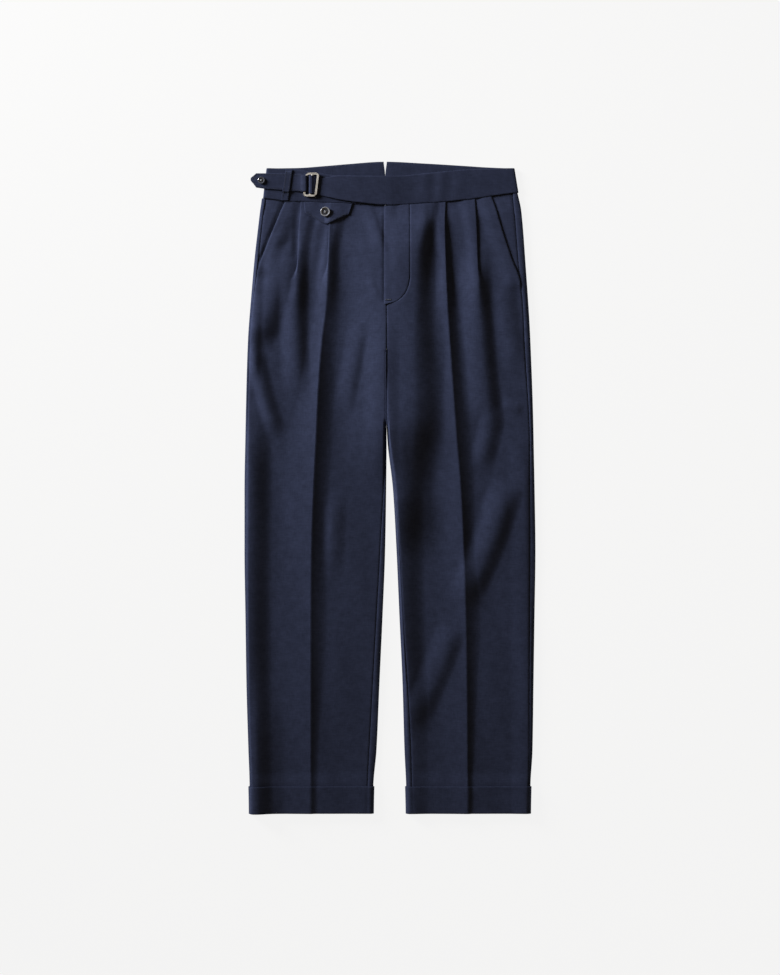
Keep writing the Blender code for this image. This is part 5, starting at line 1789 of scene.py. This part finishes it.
@dataclass
class TurnUps:
    """Turned-up hems, each a closed band round the end of its leg."""

    panels: Panels
    spread: float = 0.3
    rows: int = 12
    columns: int = 320
    even_passes: int = 2

    def build(self, leg: Leg, cloth: bpy.types.Material) -> bpy.types.Object:
        """Make the turn-up of one leg."""
        off = CLOTH / 2 + GAP + TRIM / 2
        grid = []
        for v in rounded_rows(self.rows):
            row = v * CUFF_HEIGHT
            front = self.panels.front_row(leg, max(row, FIRST_ROW))
            back = self.panels.back_row(leg, max(row, FIRST_ROW))
            loop = np.concatenate([front, back[::-1][1:-1]])
            if leg.side is Side.LEFT:
                loop = loop[::-1]
            loop = self.even(loop)
            normal = ClothWall(loop[None], TRIM, ring=True).normals()[0]
            x = loop[:, 0] + normal[:, 0] * (off + self.spread * v)
            z = loop[:, 2] + normal[:, 1] * off
            grid.append(np.stack([x, np.full_like(x, row), z], axis=1))
        name = "cuff_" + leg.side.word
        return cloth_piece(ClothWall(np.stack(grid), TRIM, ring=True), name + "_cloth", cloth,
                           name, "front_" + leg.side.word)

    def even(self, loop: np.ndarray) -> np.ndarray:
        """Take the seams' dips out of a row round the leg and space its points evenly."""
        around = np.concatenate([loop, loop[:1]])
        at = along(np.linalg.norm(np.diff(around[:, (0, 2)], axis=0), axis=1))
        where = np.linspace(0.0, at[-1], self.columns + 1)[:-1]
        kernel = np.array([1.0, 2.0, 1.0]) / 4.0
        x, z = (np.interp(where, at, around[:, k]) for k in (0, 2))
        for _ in range(self.even_passes):
            x, z = (np.convolve(np.concatenate([v[-1:], v, v[:1]]), kernel, mode="valid")
                    for v in (x, z))
        return np.stack([x, np.full_like(x, loop[0, 1]), z], axis=1)


@dataclass
class Stitching:
    """Rows of small stitches that lie on the cloth."""

    thread: bpy.types.Material
    pitch: float = 2.9
    length: float = 2.1
    length_share: float = 0.75
    first: float = 0.3
    radius: float = 0.24
    humps: tuple[float, ...] = (-1.1, 0.35, 0.55, 0.35, -1.1)
    tack_pitch: float = 0.55
    tack_reach: float = 1.3
    tack_radius: float = 0.26
    tack_humps: tuple[float, ...] = (-0.2, 0.2, 0.3, 0.2, -0.2)

    def run(self, name: str, path: Sequence[tuple[float, float]], feeler: Feeler,
            pitch: float | None = None) -> bpy.types.Object:
        """Sew a line of stitches.

        Args:
            name: Name of the piece.
            path: Corners of the line, as x and up.
            feeler: Knows the cloth under the line.
            pitch: Distance from stitch to stitch, where it isn't the usual one.

        Returns:
            The line of stitches.
        """
        pitch = pitch or self.pitch
        corners = np.array(path)
        at = along(np.hypot(*np.diff(corners, axis=0).T))
        length = min(self.length, pitch * self.length_share)
        stitches = []
        for start in np.arange(self.first, at[-1] - self.length, pitch):
            where = start + np.linspace(0.0, length, len(self.humps))
            x, up = (np.interp(where, at, corners[:, k]) for k in (0, 1))
            z = np.array([feeler.height(a, b) for a, b in zip(x, up)])
            z = z.max() + self.radius * np.array(self.humps)
            stitches.append(tube(np.stack([x, up, z], axis=1), self.radius, 6))
        return declare(join_tubes(name, stitches, self.thread), "")

    def tack(self, name: str, x: tuple[float, float], up: float,
             feeler: Feeler) -> bpy.types.Object:
        """Sew a bar tack: close upright stitches side by side.

        Args:
            name: Name of the piece.
            x: Its left and right ends.
            up: Height of its middle.
            feeler: Knows the cloth under it.

        Returns:
            The bar tack.
        """
        levels = up + self.tack_reach * np.linspace(-1.0, 1.0, len(self.tack_humps))
        stitches = []
        for place in np.arange(x[0], x[1], self.tack_pitch):
            height = max(feeler.height(place, level) for level in levels[::2])
            path = np.stack([np.full_like(levels, place), levels,
                             height + np.array(self.tack_humps)], axis=1)
            stitches.append(tube(path, self.tack_radius, 5))
        return declare(join_tubes(name, stitches, self.thread), "")


@dataclass
class Studio:
    """Pale floor, soft light from the viewer's left and a camera straight above."""

    camera_height: float = 3.80
    lens: float = 85.0
    sensor: float = 36.0
    floor_size: float = 200.0
    floor_z: float = -0.0006
    key_place: tuple[float, float, float] = (-3.02, 2.05, 1.05)
    key_aim: tuple[float, float, float] = (0.1, 0.95, 0.0)
    key_power: float = 66.5
    key_size: float = 1.15
    key_spread: float = math.radians(80.0)
    sky: float = 0.12
    sky_colour: Colour = (1.18, 0.92, 0.56)

    def build_floor(self) -> bpy.types.Object:
        """Lay the floor just under the garment."""
        deselect()
        bpy.ops.mesh.primitive_plane_add(size=self.floor_size, location=(0.0, 0.0, self.floor_z))
        floor = bpy.context.object
        floor.name = "floor"
        floor.data.materials.append(FloorPaper().make())
        return floor

    def build_camera(self) -> bpy.types.Object:
        """Hang the camera over the garment, looking straight down."""
        data = bpy.data.cameras.new("camera")
        data.lens = self.lens
        data.sensor_width = self.sensor
        camera = bpy.data.objects.new("camera", data)
        camera.location = (0.0, 0.0, self.camera_height)
        bpy.context.scene.collection.objects.link(camera)
        bpy.context.scene.camera = camera
        return camera

    def build_light(self) -> None:
        """Set the low key light and the even light of the room."""
        data = bpy.data.lights.new("key", "AREA")
        data.energy = self.key_power
        data.size = self.key_size
        data.spread = self.key_spread
        key = bpy.data.objects.new("key", data)
        key.location = self.key_place
        aim = Vector(self.key_place) - Vector(self.key_aim)
        key.rotation_euler = aim.to_track_quat("Z", "Y").to_euler()
        bpy.context.scene.collection.objects.link(key)
        world = bpy.data.worlds.new("room")
        world.use_nodes = True
        room = world.node_tree.nodes["Background"]
        room.inputs["Color"].default_value = (*self.sky_colour, 1.0)
        room.inputs["Strength"].default_value = self.sky
        bpy.context.scene.world = world
        bpy.context.scene.view_settings.view_transform = "Standard"


@dataclass(frozen=True)
class SeamPlan:
    """Where the lines of stitches lie that show."""

    fly_top: float = 996.0
    fly_foot: float = 839.5
    tack_x: tuple[float, float] = (-7.5, 2.0)
    tack_up: float = 846.0
    inset: float = 2.2
    strap_reach: tuple[float, float] = (-224.0, -143.0)
    strap_point: Edge = Edge(-226.6, 1045.6)
    loop_top: Edge = Edge(-166.5, 1060.0)
    loop_foot: Edge = Edge(-173.4, 1012.5)
    loop_half: float = 3.6
    flap_reach: tuple[float, float] = (0.03, 0.97)
    flap_inset: float = 2.4
    trim_pitch: float = 2.6

    def fly_line(self) -> list[Edge]:
        """Line down the fly and round its curve."""
        out = [(float(FLY_LINE(up)), up) for up in np.linspace(self.fly_top, self.fly_foot, 90)]
        return [Edge(x, float(height_at(np.array(x), up, Seam.FRONT))) for x, up in out]

    def strap_line(self) -> list[Edge]:
        """Line round the strap's point, from the buckle and back to it."""
        first, last = self.strap_reach
        keep = [row for row in refine(STRAP, 60) if first < row[0] < last]
        low = [Edge(row[0], row[1] + self.inset) for row in keep]
        high = [Edge(row[0], row[2] - self.inset) for row in keep]
        return low[::-1] + [self.strap_point] + high

    def loop_line(self, off: float) -> list[Edge]:
        """Line along the loop, a little to one side of its middle."""
        return [Edge(self.loop_top.x + off, self.loop_top.up),
                Edge(self.loop_foot.x + off, self.loop_foot.up)]

    def flap_line(self, flap: FobFlap) -> list[Edge]:
        """Line along the flap's lower edge."""
        s = np.linspace(*self.flap_reach, 50)
        x, up = flap.edge_point(s, np.ones_like(s))
        return [Edge(float(a), float(b)) for a, b in zip(x, up + self.flap_inset)]


def sew_trims(stitching: Stitching, pieces: dict[str, bpy.types.Object], flap: FobFlap) -> None:
    """Sew the lines that show on the fly, strap, loop and flap.

    Args:
        stitching: The thread and its stitch sizes.
        pieces: The cloth pieces by name.
        flap: The flap's sizes.
    """
    plan = SeamPlan()
    fly_cloth = Feeler([pieces["fly"], pieces["front_left"]])
    stitching.run("fly_stitches", plan.fly_line(), fly_cloth)
    stitching.tack("fly_bar_tack", plan.tack_x, plan.tack_up, fly_cloth)
    stitching.run("strap_stitches", plan.strap_line(), Feeler([pieces["strap"]]),
                  plan.trim_pitch)
    loop_cloth = Feeler([pieces["strap_loop"]])
    for word, off in (("outer", -plan.loop_half), ("inner", plan.loop_half)):
        stitching.run("loop_stitches_" + word, plan.loop_line(off), loop_cloth, plan.trim_pitch)
    stitching.run("flap_stitches", plan.flap_line(flap), Feeler([pieces["fob_flap"]]),
                  plan.trim_pitch)


def main() -> None:
    """Build and dress every piece, then the studio."""
    logging.basicConfig(level=logging.INFO, format="%(message)s")
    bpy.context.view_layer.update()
    right = Leg(Side.RIGHT, RIGHT_LEG, RIGHT_FOLDS, RIGHT_PLEAT, RIGHT_SLANT)
    left = Leg(Side.LEFT, LEFT_LEG, LEFT_FOLDS, LEFT_PLEAT, LEFT_SLANT, pocket_tuck=0.2)
    cloth = Worsted("navy_worsted").make()
    cross_cut = Worsted("navy_worsted_cross_cut", colour=(0.0142, 0.0183, 0.0395),
                        lighter=(0.0270, 0.0345, 0.0730)).make()
    thread = Thread().make()
    pale_thread = Thread("button_thread", colour=(0.16, 0.17, 0.20),
                         lighter=(0.42, 0.43, 0.46)).make()
    studio = Studio()
    studio.build_floor()
    studio.build_camera()
    studio.build_light()

    panels = Panels(right, left)
    pieces: dict[str, bpy.types.Object] = {}
    band = Waistband()
    turn_ups = TurnUps(panels)
    for leg in (right, left):
        word = leg.side.word
        pieces["back_" + word] = panels.build_back(leg, cloth)
        pieces["front_" + word] = panels.build_front(leg, cloth)
        pieces["facing_" + word] = panels.build_facing(leg, cloth)
        pieces["band_" + word] = band.build(leg.side, cross_cut)
        pieces["cuff_" + word] = turn_ups.build(leg, cloth)
    pieces["fly"] = panels.build_fly(cloth)
    trims = StrapAndLoop()
    pieces["strap"] = trims.build_strap(cross_cut)
    pieces["strap_loop"] = trims.build_loop(cross_cut)
    Buckle().build(BuckleMetal().make())
    flap = FobFlap()
    pieces["fob_flap"] = flap.build(Feeler([pieces["front_right"]]), cloth)
    # The strap button's painted rim reflection is dimmer than the fob button's
    small = Button("strap_button", x=-212.0, up=1043.6, diameter=11.5, height=2.4,
                   pale=(0.07, 0.075, 0.095))
    small.build(Feeler([pieces["strap"]]), pale_thread)
    large = Button("fob_button", x=-106.6, up=991.6, diameter=16.0, height=3.0)
    large.build(Feeler([pieces["fob_flap"]]), pale_thread)
    sew_trims(Stitching(thread), pieces, flap)


if __name__ == "__main__":
    main()
